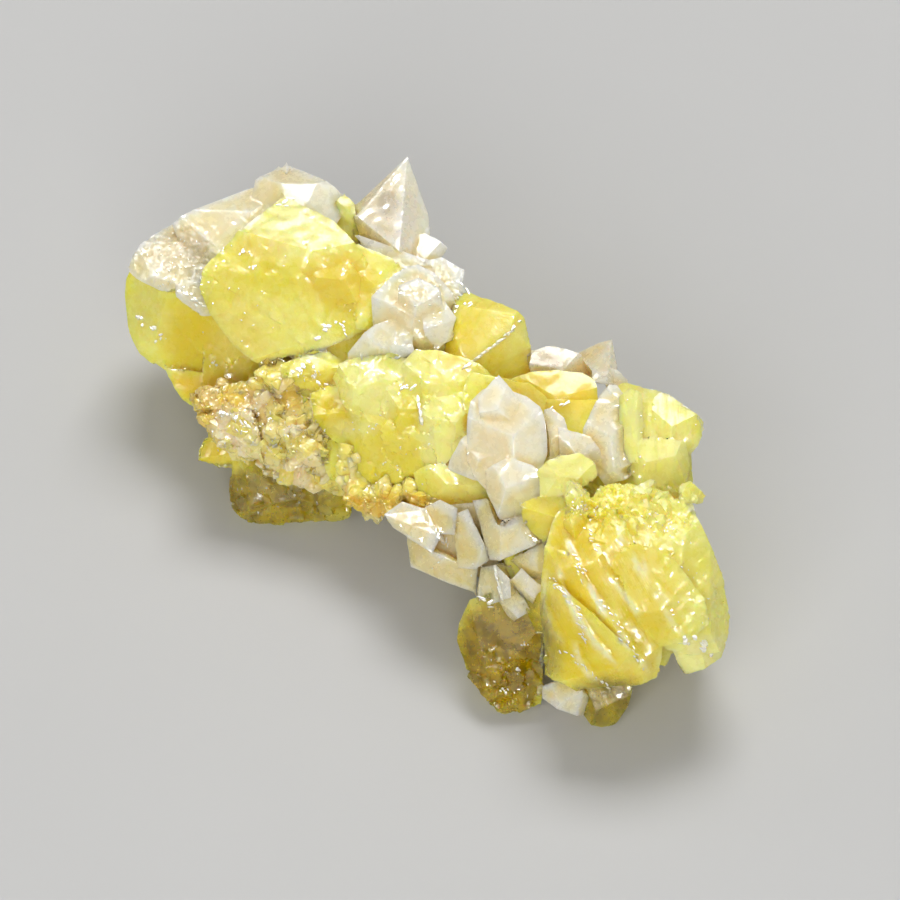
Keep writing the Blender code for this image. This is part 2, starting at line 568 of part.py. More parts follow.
def calcite_spire():
    """The pointed crystal that stands up from the back edge, and the stepped crystals below it."""
    spire = splinter(
        (407, 152.5, -7.4), (361, 196, -7.0), (345, 216, -6.4), (356, 214, -5.6), (399, 250, -3.6),
        (347, 234, -6.6), (384, 263, -4.9), (421, 278, -4.4), (430, 231, -6.0), (429, 212, -6.6),
        (385, 190, -10.5), (420, 205, -10.8), (370, 235, -11.5), (425, 250, -11.5))
    apron = crystal(
        [(350, 236), (362, 232), (400, 254), (430, 262), (436, 282), (410, 284), (384, 264)],
        [(396, 262, -3.5, 0.10, -0.45), (396, 268, -3.4, 0.05, 0.4)], -7)
    step_a = crystal(
        [(408, 236), (426, 231), (440, 240), (448, 246), (441, 258), (424, 276), (404, 262)],
        [(428, 244, -4.9, 0.10, -0.55), (420, 258, -4.2, 0.30, 0.30), (438, 252, -4.9, -0.60, 0.1)], -9)
    step_b = crystal(
        [(418, 262), (441, 256), (450, 260), (465, 271), (461, 284), (450, 300), (432, 302), (418, 290)],
        [(444, 272, -3.0, 0.10, -0.50), (445, 290, -2.6, -0.15, 0.20), (428, 282, -3.0, 0.55, 0.0)], -7)
    step_c = crystal(
        [(436, 284), (455, 280), (462, 282), (470, 288), (474, 296), (458, 310), (440, 312)],
        [(455, 292, -2.3, 0.05, -0.40), (456, 302, -2.2, -0.10, 0.45), (468, 294, -2.5, -0.6, 0.0)], -6)
    broad = crystal(
        [(372, 296), (384, 282), (402, 266), (420, 262), (440, 276), (454, 294), (455, 316), (452, 332),
         (443, 354), (420, 348), (400, 354), (384, 350), (372, 330)],
        [(412, 290, -1.3, 0.05, -0.42), (430, 315, -0.9, -0.28, 0.12), (398, 315, -0.9, 0.38, 0.18),
         (412, 342, -1.1, 0.05, 0.8)], -6)
    tongue = crystal(
        [(343, 360), (352, 344), (372, 326), (396, 316), (416, 332), (412, 350), (390, 357), (352, 362)],
        [(380, 338, -0.6, -0.06, -0.35), (380, 348, -0.5, 0.10, 0.75), (358, 350, -1.1, 0.5, 0.2)], -5)
    facing = crystal(
        [(398, 284), (420, 276), (440, 288), (446, 312), (434, 330), (410, 332), (396, 312)],
        [(420, 296, -0.5, 0.12, -0.30), (424, 310, -0.5, -0.20, 0.30), (406, 306, -0.7, 0.50, 0.1)], -4)
    side = crystal(
        [(426, 296), (446, 300), (456, 318), (450, 340), (436, 350), (424, 334), (420, 312)],
        [(440, 312, -0.7, 0.05, -0.40), (440, 330, -0.5, -0.15, 0.30)], -4)
    return [broad, spire, apron, step_a, step_b, step_c, tongue, facing, side]


def calcite_centre():
    """The large white crystals in the middle of the show side."""
    main = crystal(
        [(480, 390), (490, 386), (513, 391), (530, 398), (541, 408), (546, 422), (543, 440), (548, 456),
         (540, 472), (522, 500), (505, 505), (486, 490), (474, 478), (466, 460), (466, 430), (468, 404)],
        [(500, 408, 4.5, 0.05, -0.42), (495, 440, 5.0, 0.26, 0.08), (525, 440, 5.0, -0.36, 0.05),
         (508, 480, 4.8, 0.0, 0.4)],
        -2)
    left = crystal(
        [(447, 467), (452, 452), (464, 436), (480, 426), (494, 440), (500, 462), (492, 484), (474, 480),
         (452, 475)],
        [(476, 450, 4.6, 0.16, -0.30), (478, 464, 4.7, -0.05, 0.40), (460, 458, 4.0, 0.7, 0.2)], -1)
    low = crystal(
        [(484, 468), (508, 456), (534, 466), (539, 494), (521, 502), (519, 516), (506, 521), (499, 520),
         (486, 494)],
        [(510, 476, 5.5, 0.10, -0.24), (515, 492, 5.5, -0.12, 0.36), (496, 490, 5.2, 0.7, 0.1)], 0)
    shard = crystal(
        [(476, 400), (488, 384), (500, 373), (510, 388), (520, 402), (514, 424), (494, 430), (480, 418)],
        [(498, 398, 4.7, 0.22, -0.42), (504, 404, 4.8, -0.30, -0.2), (498, 416, 4.9, 0.1, 0.3)], 0)
    return [main, left, low, shard]


def calcite_points_and_column():
    """The honey-tinted points on the back edge, and the cream crystals below them."""
    bump = crystal(
        [(530, 352), (545, 346), (557, 344), (570, 349), (580, 353), (596, 374), (590, 382), (560, 380),
         (534, 382), (529, 368)],
        [(556, 362, -0.2, 0.10, -0.55), (550, 370, -0.1, 0.20, 0.20), (576, 366, -0.3, -0.50, 0.0)], -5)
    tip = splinter(
        (613, 338, -1.6), (598, 342, -1.6), (577, 353, -1.4), (592, 372, 1.0), (606, 386, 2.0),
        (616, 351, -1.7), (617, 370, -0.6), (620, 384, 0.6), (600, 352, -5.0), (612, 380, -5.0),
        (582, 375, -5.0))
    low_tip = crystal(
        [(612, 368), (620, 371), (632, 383), (638, 390), (622, 400), (606, 392), (604, 376)],
        [(620, 382, 0.9, 0.0, -0.4), (622, 388, 1.0, -0.2, 0.2)], -4)
    root = crystal(
        [(540, 362), (580, 358), (612, 362), (622, 380), (600, 384), (560, 380), (540, 376)],
        [(580, 370, -0.8, 0.0, -0.2)], -7)
    column = crystal(
        [(590, 408), (598, 394), (608, 384), (618, 386), (625, 398), (626, 440), (624, 480), (604, 486),
         (594, 472), (584, 452), (582, 430)],
        [(606, 410, 4.0, 0.05, -0.45), (602, 440, 4.6, 0.30, 0.05), (616, 440, 4.6, -0.40, 0.0),
         (606, 470, 4.7, 0.0, 0.4)], -1)
    small = crystal(
        [(541, 410), (552, 406), (566, 420), (570, 444), (560, 460), (545, 460), (541, 440)],
        [(554, 424, 3.7, 0.10, -0.40), (556, 440, 4.0, -0.30, 0.2), (546, 440, 3.9, 0.5, 0.1)], -4)
    bridge = crystal(
        [(556, 426), (572, 430), (592, 438), (606, 462), (598, 478), (572, 466), (558, 456)],
        [(580, 444, 4.6, 0.10, -0.40), (584, 456, 4.8, -0.15, 0.30), (566, 446, 4.5, 0.6, 0.1)], -3)
    return [tip, bump, root, low_tip], [column, bridge, small]


def calcite_teeth():
    """The dogtooth cluster that hangs in the hollow under the middle."""
    return [
        crystal([(388, 516), (400, 505), (440, 500), (480, 502), (520, 502), (546, 514), (550, 545),
                 (540, 586), (515, 596), (480, 580), (440, 558), (402, 535)],
                [(470, 530, 2.3, 0.26, 0.16)], -3, 0.5),
        splinter((383, 514, 1.0), (392, 528, 1.2), (406, 534, 1.8), (433, 554, 2.8), (441, 536, 3.0),
                 (426, 508, 2.2), (402, 500, 1.2), (412, 518, -3.0), (430, 530, -2.0)),
        splinter((405, 533, 0.8), (411, 567, 1.0), (426, 573, 1.5), (445, 582, 2.2), (476, 593, 2.8),
                 (479, 568, 3.4), (455, 562, 3.1), (430, 550, 2.5), (436, 552, -2.0), (466, 572, -0.5)),
        splinter((452, 524, 2.8), (458, 512, 3.2), (468, 508, 3.6), (484, 543, 4.5), (490, 560, 4.3),
                 (475, 570, 4.0), (457, 568, 3.2), (470, 530, 0.0), (476, 556, 0.8)),
        splinter((472, 500, 3.6), (486, 498, 4.3), (500, 520, 5.2), (546, 514, 5.6), (551, 528, 5.6),
                 (540, 543, 5.5), (500, 561, 5.1), (489, 560, 4.5), (505, 522, 1.0), (530, 538, 1.6)),
        splinter((480, 566, 3.7), (498, 562, 4.6), (506, 590, 4.8), (500, 601, 4.5), (476, 609, 3.4),
                 (476, 590, 3.2), (494, 578, 1.5), (486, 598, 2.2)),
        splinter((494, 562, 4.8), (510, 578, 5.7), (511, 597, 5.5), (503, 599, 5.0), (508, 570, 0),
                 (505, 595, 0)),
        splinter((498, 602, 4.2), (511, 578, 5.1), (521, 566, 5.5), (541, 586, 5.6), (529, 609, 5.0),
                 (510, 625, 4.0), (518, 584, 2.5), (524, 598, 2.8)),
        splinter((506, 560, 4.6), (530, 548, 5.2), (546, 540, 5.2), (545, 590, 4.8), (522, 592, 4.6),
                 (530, 566, 1.0), (538, 578, 1.5)),
        splinter((420, 508, 1.6), (440, 499, 2.6), (458, 508, 3.4), (455, 535, 3.4), (436, 534, 2.6),
                 (440, 515, -1)),
    ]


def calcite_chip():
    """A small cream crystal between the two front feet."""
    return [crystal(
        [(541, 682), (560, 678), (578, 684), (588, 702), (586, 718), (575, 718), (560, 709), (550, 701),
         (541, 700)],
        [(562, 690, 4.2, 0.15, 0.0), (572, 704, 3.9, -0.3, 0.6), (552, 694, 4.0, 0.7, 0.2)], -2,
        floor=-1)]


# ---------------------------------------------------------------- crust

def crust(rng):
    """The granular bed below the left end: a lumpy base set with small crystals."""
    base = [
        crystal([(180, 386), (200, 386), (240, 386), (262, 392), (276, 430), (268, 474), (240, 468),
                 (222, 438), (203, 424), (184, 404)],
                [(225, 405, -5.0, 0.25, 0.1), (245, 440, -4.9, -0.05, 0.5), (195, 395, -6.0, 0.9, 0.2)], -12),
        crystal([(250, 376), (300, 358), (345, 372), (356, 430), (352, 470), (345, 500), (310, 492),
                 (262, 478), (244, 440)],
                [(300, 400, -3.4, 0.10, -0.1), (310, 440, -3.2, -0.05, 0.45), (262, 430, -4.2, 0.5, 0.2)], -11),
        crystal([(340, 440), (380, 460), (430, 480), (462, 490), (470, 505), (450, 508), (392, 512),
                 (352, 505), (335, 470)],
                [(390, 470, -1.3, 0.15, 0.1), (410, 492, -1.5, 0.1, 0.9)], -8),
    ]
    lumps = []
    for _ in range(86):
        across = rng.uniform(178, 352)
        down = rng.uniform(366, 496)
        if down > 430 + (across - 222) * 0.5 or down < 392 - (across - 182) * 0.18:
            continue
        if across < 196 + (down - 392) * 0.5:
            continue
        height = min(-3.2 - abs(across - 306) * 0.017, -2.7 - (down - 420) * 0.026)
        height += rng.uniform(-0.5, 0.2)
        lumps.append(chip(on_sheet(across, down, height - 0.4), rng.uniform(0.55, 1.3), rng, 6))
    for _ in range(14):
        along = rng.uniform(0, 1)
        place = on_sheet(352 + 92 * along, 502 + rng.uniform(-8, 4), -2.6 + 3.0 * along)
        lumps.append(chip(place, rng.uniform(0.6, 1.1), rng, 7))
    return base[:2] + lumps[:len(lumps) - 14], base[2:] + lumps[len(lumps) - 14:]


# ---------------------------------------------------------------- build

def clear_scene():
    for obj in list(bpy.data.objects):
        bpy.data.objects.remove(obj, do_unlink=True)


def centre_on_origin(objects):
    """Moves the whole specimen so that its box stands on the origin."""
    lows, highs = zip(*(box_of(obj) for obj in objects))
    low, high = np.min(lows, axis=0), np.max(highs, axis=0)
    shift = Matrix.Translation((-(low[0] + high[0]) / 2, -(low[1] + high[1]) / 2, -low[2]))
    for obj in objects:
        obj.data.transform(shift)


def main():
    clear_scene()
    rng = random.Random(SEED)
    sulfur = sulfur_left() + sulfur_middle() + sulfur_right() + sulfur_end() + sulfur_feet()
    sulfur += sulfur_hidden(rng)
    points, column = calcite_points_and_column()
    bed, edge = crust(rng)
    minerals = [
        ("sulfur_crystals", sulfur, SULFUR, 0.25),
        ("calcite_ridge", calcite_ridge(), CALCITE, 0.2),
        ("calcite_spire", calcite_spire(), CALCITE, 0.2),
        ("calcite_centre", calcite_centre(), CALCITE, 0.2),
        ("calcite_points", points, CALCITE, 0.2),
        ("calcite_column", column, CALCITE, 0.2),
        ("calcite_teeth", calcite_teeth(), CALCITE, 0.2),
        ("calcite_chip", calcite_chip(), CALCITE, 0.2),
        ("crust", bed, CRUST, 0.6),
        ("crust_edge", edge, CRUST, 0.6),
    ]
    built = []
    for index, (name, crystals, colour, rough) in enumerate(minerals):
        obj = fused(name, crystals)
        for _, earlier, _, _ in minerals[:index]:
            clear_of(obj, earlier)
        rest_on_ground(obj)
        largest_body(obj)
        tidy(obj)
        painted(obj, name, colour, rough)
        built.append(obj)
    centre_on_origin(built)


main()
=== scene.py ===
"""Looks of the native sulfur specimen: carved crystal surfaces, grains, materials, light and camera.

Lengths are in millimetres until a mesh is written. Places on the show side are given on a sheet
that leans back from the ground, across and down in sheet units, as the crystals were laid out.
"""

import math

import bmesh
import bpy
import numpy as np
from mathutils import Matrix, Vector
from mathutils.bvhtree import BVHTree


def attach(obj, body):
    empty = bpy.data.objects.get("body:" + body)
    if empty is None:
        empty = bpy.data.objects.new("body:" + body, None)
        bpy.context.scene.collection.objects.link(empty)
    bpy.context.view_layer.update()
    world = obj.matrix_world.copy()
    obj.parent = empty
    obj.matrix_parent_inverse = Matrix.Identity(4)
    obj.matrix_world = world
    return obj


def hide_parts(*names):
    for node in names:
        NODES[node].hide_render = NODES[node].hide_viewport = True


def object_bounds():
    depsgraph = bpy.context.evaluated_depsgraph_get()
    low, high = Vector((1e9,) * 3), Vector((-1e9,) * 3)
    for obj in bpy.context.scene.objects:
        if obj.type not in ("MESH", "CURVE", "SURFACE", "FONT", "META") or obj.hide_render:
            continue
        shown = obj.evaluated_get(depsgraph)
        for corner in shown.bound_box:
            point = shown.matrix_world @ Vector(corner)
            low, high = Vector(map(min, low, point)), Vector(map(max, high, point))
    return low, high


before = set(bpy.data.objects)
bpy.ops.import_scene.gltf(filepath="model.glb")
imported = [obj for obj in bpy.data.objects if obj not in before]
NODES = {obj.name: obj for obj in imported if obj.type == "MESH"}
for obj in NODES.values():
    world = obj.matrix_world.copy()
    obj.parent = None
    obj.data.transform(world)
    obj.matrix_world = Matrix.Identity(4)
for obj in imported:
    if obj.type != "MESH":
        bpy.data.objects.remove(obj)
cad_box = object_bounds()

MM = 0.001
UNIT = 0.065                       # one sheet unit
SHEET_MID = 450.0                  # the sheet's middle, across and down
SHEET_PLACE = (1.907, -1.907, 9.5) # the sheet's middle in the frame
SHEET_TURN = 40.0                  # turn of the show side, degrees
SHEET_TILT = 52.0                  # how high the show side looks up, degrees


# ---------------------------------------------------------------- sheet and noise

def sheet_axes():
    turn = math.radians(SHEET_TURN)
    tilt = math.radians(SHEET_TILT)
    right = np.array((math.cos(turn), math.sin(turn), 0.0))
    up = np.array((-math.sin(turn) * math.sin(tilt), math.cos(turn) * math.sin(tilt), math.cos(tilt)))
    return right, up, np.cross(right, up)


RIGHT, UP, OUT = sheet_axes()


def to_sheet(points):
    """Across, down and height of points on the sheet."""
    local = points - np.array(SHEET_PLACE)
    across = SHEET_MID + local @ RIGHT / UNIT
    down = SHEET_MID - local @ UP / UNIT
    return across, down, local @ OUT


def scramble(ix, iy, iz, seed):
    """Repeatable random numbers from 0 to 1 for whole-numbered places."""
    n = (ix * 73856093) ^ (iy * 19349663) ^ (iz * 83492791) ^ (seed * 26544357)
    n &= 0xFFFFFFFF
    n = ((n ^ (n >> 13)) * 1274126177) & 0xFFFFFFFF
    n = ((n ^ (n >> 15)) * 1103515245) & 0xFFFFFFFF
    n ^= n >> 16
    return n / 0xFFFFFFFF


def noise(points, size, seed=0):
    """Smooth noise from -1 to 1 with features of a size."""
    place = points / size + 1000
    base = np.floor(place).astype(np.int64)
    part = place - base
    part = part * part * part * (part * (part * 6 - 15) + 10)
    total = np.zeros(len(points))
    for corner in range(8):
        step = np.array((corner & 1, corner >> 1 & 1, corner >> 2 & 1))
        weight = np.prod(np.where(step, part, 1 - part), axis=1)
        total += weight * scramble(*(base + step).T, seed)
    return total * 2 - 1


def rough_noise(points, size, seed=0, octaves=3):
    total, share, scale = 0.0, 0.0, 1.0
    for octave in range(octaves):
        total = total + scale * noise(points, size * 0.5 ** octave, seed + 17 * octave)
        share += scale
        scale *= 0.5
    return total / share


def cells(points, size, seed=0):
    """Distance to the nearest of scattered centres, the offset from it, and its random numbers."""
    place = points / size + 1000
    base = np.floor(place).astype(np.int64)
    best = np.full(len(points), 9.0)
    offset = np.zeros_like(points)
    lots = np.zeros_like(points)
    for step in np.ndindex(3, 3, 3):
        cell = base + np.array(step) - 1
        spot = np.stack([scramble(*cell.T, seed + k) for k in range(3)], axis=1)
        gap = place - cell - spot
        distance = np.sqrt((gap ** 2).sum(axis=1))
        closer = distance < best
        best[closer] = distance[closer]
        offset[closer] = gap[closer]
        lots[closer] = spot[closer]
    return best * size, offset * size, (lots * 7.31) % 1.0


def smooth(values, low, high):
    """0 below low, 1 above high, and smooth between them."""
    part = np.clip((values - low) / (high - low), 0, 1)
    return part * part * (3 - 2 * part)


def terraces(field, step):
    """The field cut into flat steps with short risers."""
    level = field / step
    whole = np.floor(level)
    return step * (whole + smooth(level - whole, 0.72, 1.0))


# ---------------------------------------------------------------- where the crystals are solid

def solid_grid(pitch):
    """1 inside the crystals and 0 outside, on a grid over the whole specimen."""
    margin = 3.0
    low = np.array(cad_box[0]) / MM - margin
    shape = np.ceil((np.array(cad_box[1]) / MM + margin - low) / pitch).astype(int)
    change = np.zeros(tuple(shape + 1))
    for obj in NODES.values():
        mesh = obj.data
        mesh.calc_loop_triangles()
        points = np.array([v.co for v in mesh.vertices]) / MM
        for triangle in mesh.loop_triangles:
            cross_triangle(change, points[list(triangle.vertices)], low, pitch)
    return np.clip(np.cumsum(change, axis=2), 0, 1), low


def cross_triangle(change, corners, low, pitch):
    """Marks where upright lines through the grid cross one triangle."""
    a, b, c = (corners - low) / pitch
    spread = (b[0] - a[0]) * (c[1] - a[1]) - (b[1] - a[1]) * (c[0] - a[0])
    if abs(spread) < 1e-9:
        return
    first = np.ceil(np.minimum(np.minimum(a, b), c)[:2]).astype(int)
    last = np.floor(np.maximum(np.maximum(a, b), c)[:2]).astype(int)
    if (last < first).any():
        return
    x, y = np.meshgrid(np.arange(first[0], last[0] + 1), np.arange(first[1], last[1] + 1), indexing="ij")
    s = ((x - a[0]) * (c[1] - a[1]) - (y - a[1]) * (c[0] - a[0])) / spread
    t = ((b[0] - a[0]) * (y - a[1]) - (b[1] - a[1]) * (x - a[0])) / spread
    inside = (s >= 0) & (t >= 0) & (s + t < 1)
    height = a[2] + s * (b[2] - a[2]) + t * (c[2] - a[2])
    level = np.clip(np.ceil(height).astype(int), 0, change.shape[2] - 1)
    np.add.at(change, (x[inside], y[inside], level[inside]), -np.sign(spread))


def blurred(grid, cells_wide):
    """The grid averaged over a cube."""
    for axis in range(3):
        total = np.cumsum(grid, axis=axis)
        ahead = np.roll(total, -(cells_wide // 2), axis=axis)
        behind = np.roll(total, cells_wide - cells_wide // 2, axis=axis)
        grid = (ahead - behind) / cells_wide
    return np.clip(grid, 0, 1)


def sampled(grid, low, pitch, points):
    place = np.clip((points - low) / pitch, 0, np.array(grid.shape) - 2)
    base = np.floor(place).astype(int)
    part = place - base
    total = np.zeros(len(points))
    for corner in range(8):
        step = np.array((corner & 1, corner >> 1 & 1, corner >> 2 & 1))
        weight = np.prod(np.where(step, part, 1 - part), axis=1)
        total += weight * grid[tuple((base + step).T)]
    return total


PITCH = 0.25
GRID, GRID_LOW = solid_grid(PITCH)
CLOSE = blurred(GRID, 6)                # the share that is solid within about 0.8 mm
WIDE = blurred(blurred(GRID, 10), 8)    # and within about 2 mm


def crowding(points, normals):
    """How far into a crevice points are, from 0 in the open to 1, for the painted crevice shade, and how
    sharp an edge they are on, for the painted edge highlights.
    """
    close = sampled(CLOSE, GRID_LOW, PITCH, points + normals * 0.25)
    wide = sampled(WIDE, GRID_LOW, PITCH, points + normals * 0.9)
    # The crevice measure is painted as crevice shade, and the edge measure as a whitish edge highlight.
    crevice_shade = smooth(0.35 * close + 0.65 * wide, 0.34, 0.72)
    edge = smooth(-close, -0.34, -0.16)
    return crevice_shade, edge


# ---------------------------------------------------------------- fine meshes

def evaluated(obj):
    graph = bpy.context.evaluated_depsgraph_get()
    return bpy.data.meshes.new_from_object(obj.evaluated_get(graph))


def fine_object(node, name, cell):
    """A copy of a CAD node on a fine even grid that keeps its sharp edges."""
    mesh = NODES[node].data.copy()
    bm = bmesh.new()
    bm.from_mesh(mesh)
    bmesh.ops.remove_doubles(bm, verts=bm.verts, dist=2e-6)
    bm.to_mesh(mesh)
    bm.free()
    obj = bpy.data.objects.new(name, mesh)
    bpy.context.scene.collection.objects.link(obj)
    longest = max(NODES[node].dimensions) / MM
    step = obj.modifiers.new("grid", "REMESH")
    step.mode = "SHARP"
    step.octree_depth = math.ceil(math.log2(longest / cell / 0.99))
    step.scale = longest / (cell * 2 ** step.octree_depth)
    step.sharpness = 1.0
    step.use_remove_disconnected = False
    replace_mesh(obj, evaluated(obj))
    return obj


def replace_mesh(obj, mesh):
    old = obj.data
    obj.modifiers.clear()
    obj.data = mesh
    bpy.data.meshes.remove(old)


def points_of(mesh):
    flat = np.empty(len(mesh.vertices) * 3)
    mesh.vertices.foreach_get("co", flat)
    return flat.reshape(-1, 3) / MM


def normals_of(mesh):
    flat = np.empty(len(mesh.vertices) * 3, np.float32)
    mesh.vertex_normals.foreach_get("vector", flat)
    return flat.reshape(-1, 3).astype(float)


def set_points(mesh, points):
    low, high = (np.array(corner) / MM for corner in cad_box)
    points = np.clip(points, low, high)
    mesh.vertices.foreach_set("co", (points * MM).ravel().astype(np.float32))
    mesh.update()


def soften(mesh, points, amount):
    """Draws each point towards its neighbours, which rounds the edges and leaves flat faces flat."""
    ends = np.empty(len(mesh.edges) * 2, np.int32)
    mesh.edges.foreach_get("vertices", ends)
    one, two = ends.reshape(-1, 2).T
    count = np.bincount(one, minlength=len(points)) + np.bincount(two, minlength=len(points))
    count = np.maximum(count, 1)[:, None]
    total = np.zeros_like(points)
    for axis in range(3):
        total[:, axis] = (np.bincount(one, points[two, axis], len(points))
                          + np.bincount(two, points[one, axis], len(points)))
    return points + amount[:, None] * (total / count - points)


def thinned(obj, most):
    """Brings a mesh under a count of triangles, with the fewest changes to its shape."""
    triangles = sum(len(face.vertices) - 2 for face in obj.data.polygons)
    if triangles <= most:
        return
    step = obj.modifiers.new("thin", "DECIMATE")
    step.ratio = most / triangles
    replace_mesh(obj, evaluated(obj))


def shade(obj, angle):
    obj.data.shade_smooth()
    obj.data.set_sharp_from_angle(angle=math.radians(angle))


def put_attribute(mesh, name, values):
    attribute = mesh.attributes.new(name, "FLOAT", "POINT")
    attribute.data.foreach_set("value", np.clip(values, 0, 1).astype(np.float32))


def put_sheet(mesh, across, down, height):
    """Places on the sheet in mm, for the shaders' ribs."""
    place = np.stack([across * UNIT, down * UNIT, height], axis=1).astype(np.float32)
    attribute = mesh.attributes.new("sheet", "FLOAT_VECTOR", "POINT")
    attribute.data.foreach_set("vector", place.ravel())


# ---------------------------------------------------------------- painted regions
# Each spot is across and down on the sheet, its two radii and a strength.

def patches(across, down, facing, spots, ragged, edge=0.35):
    """Soft patches on the show side."""
    total = np.zeros(len(across))
    for u, v, wide, tall, strength in spots:
        distance = np.sqrt(((across - u) / wide) ** 2 + ((down - v) / tall) ** 2)
        patch = strength * (1 - smooth(distance + ragged, 1 - edge, 1 + edge))
        total = np.maximum(total, patch)
    return total * facing


SPARKLE_SPOTS = [
    (600, 500, 44, 30, 1.0), (655, 515, 60, 34, 0.9), (690, 590, 40, 60, 0.5), (510, 680, 56, 60, 0.9),
    (270, 500, 80, 40, 1.0), (310, 372, 44, 20, 0.8), (170, 260, 56, 44, 1.0), (420, 300, 50, 50, 0.5),
    (440, 560, 70, 60, 0.6), (606, 690, 60, 30, 0.6), (300, 440, 140, 70, 1.0)]
# Whitish lemon areas: partly the crystals' own frosting, partly painted light on faces that the key light
# falls on.
PALE_AND_LIT_SPOTS = [
    (292, 220, 56, 34, 1.0), (262, 332, 52, 36, 0.45), (300, 346, 40, 16, 0.5), (444, 434, 26, 42, 1.0),
    (367, 386, 30, 32, 0.90), (354, 428, 26, 10, 0.6), (568, 475, 36, 26, 1.0), (650, 440, 40, 66, 0.75),
    (672, 520, 40, 34, 0.45), (694, 580, 30, 52, 0.30), (470, 488, 34, 20, 0.55), (145, 320, 22, 34, 0.35),
    (405, 372, 14, 12, 0.8), (700, 656, 34, 24, 1.0), (430, 372, 40, 18, 0.55), (520, 352, 16, 30, 0.45)]
AMBER_SPOTS = [
    (342, 284, 34, 30, 0.7), (206, 388, 56, 12, 1.0), (428, 508, 36, 12, 0.9), (362, 506, 26, 10, 0.9),
    (300, 376, 30, 18, 0.4), (552, 392, 46, 24, 0.80), (488, 318, 30, 22, 0.25), (458, 350, 22, 22, 0.5),
    (262, 244, 26, 12, 0.4), (540, 520, 26, 22, 0.55), (590, 560, 26, 40, 0.35), (205, 470, 30, 40, 0.9)]
# Darker gold areas: partly thick saturated crystal, partly painted shade on faces turned away from the key
# light.
DEEP_AND_SHADED_SPOTS = [
    (214, 346, 52, 48, 0.85), (480, 322, 36, 26, 0.3), (575, 600, 34, 80, 0.95), (620, 600, 60, 76, 0.8),
    (262, 262, 48, 26, 0.35), (246, 302, 30, 26, 0.35), (385, 462, 44, 44, 0.5), (333, 416, 20, 22, 1.0),
    (408, 416, 14, 18, 0.6), (460, 490, 40, 12, 0.6), (606, 672, 50, 16, 0.9)]
OLIVE_SPOTS = [
    (502, 652, 52, 66, 1.0), (270, 500, 66, 34, 0.9), (330, 505, 34, 22, 0.6), (606, 702, 44, 26, 0.85),
    (500, 700, 40, 24, 1.0)]
STAIN_SPOTS = [
    (409, 175, 20, 30, 0.35), (426, 215, 12, 40, 0.5), (606, 352, 22, 18, 0.9), (556, 360, 34, 20, 0.5),
    (220, 214, 40, 20, 0.2), (455, 275, 26, 30, 0.4), (600, 420, 26, 40, 0.45), (446, 560, 70, 56, 0.55)]
SMOKE_SPOTS = [
    (388, 202, 12, 17, 1.0), (376, 238, 30, 9, 0.6), (352, 218, 10, 8, 0.6), (172, 246, 34, 22, 0.2),
    (198, 262, 14, 26, 0.5), (388, 208, 30, 46, 0.5), (545, 366, 16, 14, 0.7)]
CRUST_AMBER_SPOTS = [
    (212, 394, 44, 16, 0.7), (290, 398, 30, 14, 0.45), (410, 506, 60, 14, 0.9), (345, 507, 24, 12, 0.9),
    (198, 420, 16, 30, 0.9), (330, 430, 16, 18, 0.4)]
BROKEN_PAINT = [(606, 600, 76, 110, 1.0)]
STRIATED_PAINT = [(655, 444, 52, 66, 1.0)]


def paint_sulfur(mesh):
    points, normals = points_of(mesh), normals_of(mesh)
    across, down, height = to_sheet(points)
    facing = smooth(normals @ OUT, -0.35, 0.15)
    ragged = 0.30 * rough_noise(points, 2.4, 3)
    crevice_shade, edge = crowding(points, normals)
    hidden = 1 - facing
    drift = rough_noise(points, 7.0, 41)
    speck = rough_noise(points, 1.3, 42)
    pale_and_lit = patches(across, down, facing, PALE_AND_LIT_SPOTS, ragged) + hidden * smooth(drift, 0.05, 0.5)
    amber = patches(across, down, facing, AMBER_SPOTS, ragged) + hidden * smooth(-drift, 0.15, 0.6) * 0.7
    deep_and_shaded = patches(across, down, facing, DEEP_AND_SHADED_SPOTS, ragged) + hidden * smooth(speck, -0.1, 0.5) * 0.6
    clear = patches(across, down, facing, OLIVE_SPOTS, ragged * 0.6)
    sparkling = patches(across, down, facing, SPARKLE_SPOTS, ragged) + hidden * smooth(speck, -0.2, 0.6)
    put_sheet(mesh, across, down, height)
    broken = patches(across, down, facing, BROKEN_PAINT, ragged * 0.3)
    put_attribute(mesh, "broken", broken)
    # Painted highlights along the ridges of the break.
    put_attribute(mesh, "ridge_highlight", broken * ridge_highlight_lines(across, down, points))
    put_attribute(mesh, "striated", patches(across, down, facing, STRIATED_PAINT, ragged * 0.5))
    # Whitish lemon areas, plus a painted highlight along sharp edges.
    put_attribute(mesh, "pale_and_lit", pale_and_lit + 0.30 * edge)
    put_attribute(mesh, "sparkle", 0.02 + 0.45 * sparkling)
    put_attribute(mesh, "amber", amber)
    put_attribute(mesh, "deep_and_shaded", deep_and_shaded)
    put_attribute(mesh, "clear", clear)
    put_attribute(mesh, "crevice_shade", crevice_shade)


# ---------------------------------------------------------------- carving

MOSAIC = [(390, 430, 110, 84, 1.0), (300, 300, 120, 110, 0.45)]
STRIATED = [(652, 444, 50, 66, 1.0)]
GROOVES = (622, 634, 663)          # places across of the striated block's deep grooves
BROKEN = [(606, 606, 76, 96, 1.0)]
RUBBLE = [(600, 500, 40, 26, 1.0), (652, 508, 56, 24, 0.85)]
SPECKLED = [(690, 590, 40, 60, 0.4), (262, 372, 60, 20, 0.6)]
ROUGH_FEET = [(510, 690, 50, 40, 1.0), (290, 505, 60, 26, 0.7)]
SUGAR = [(170, 258, 50, 34, 1.0), (196, 300, 18, 24, 1.0), (400, 346, 60, 18, 0.6), (420, 280, 36, 26, 0.45)]
BOW = 7.0                          # how far a ridge bows out between its ends, in sheet units
LUMP = 1.15                        # size of a lump of the crust, in mm
JOIN_REACH = 0.55                  # widest clearance that a mineral grows on across, in mm
JOIN_SINK = 0.30                   # how deep it then goes into its neighbour, in mm
STAIN_REACH = 2.5                  # how far from the sulfur calcite is stained by it, in mm


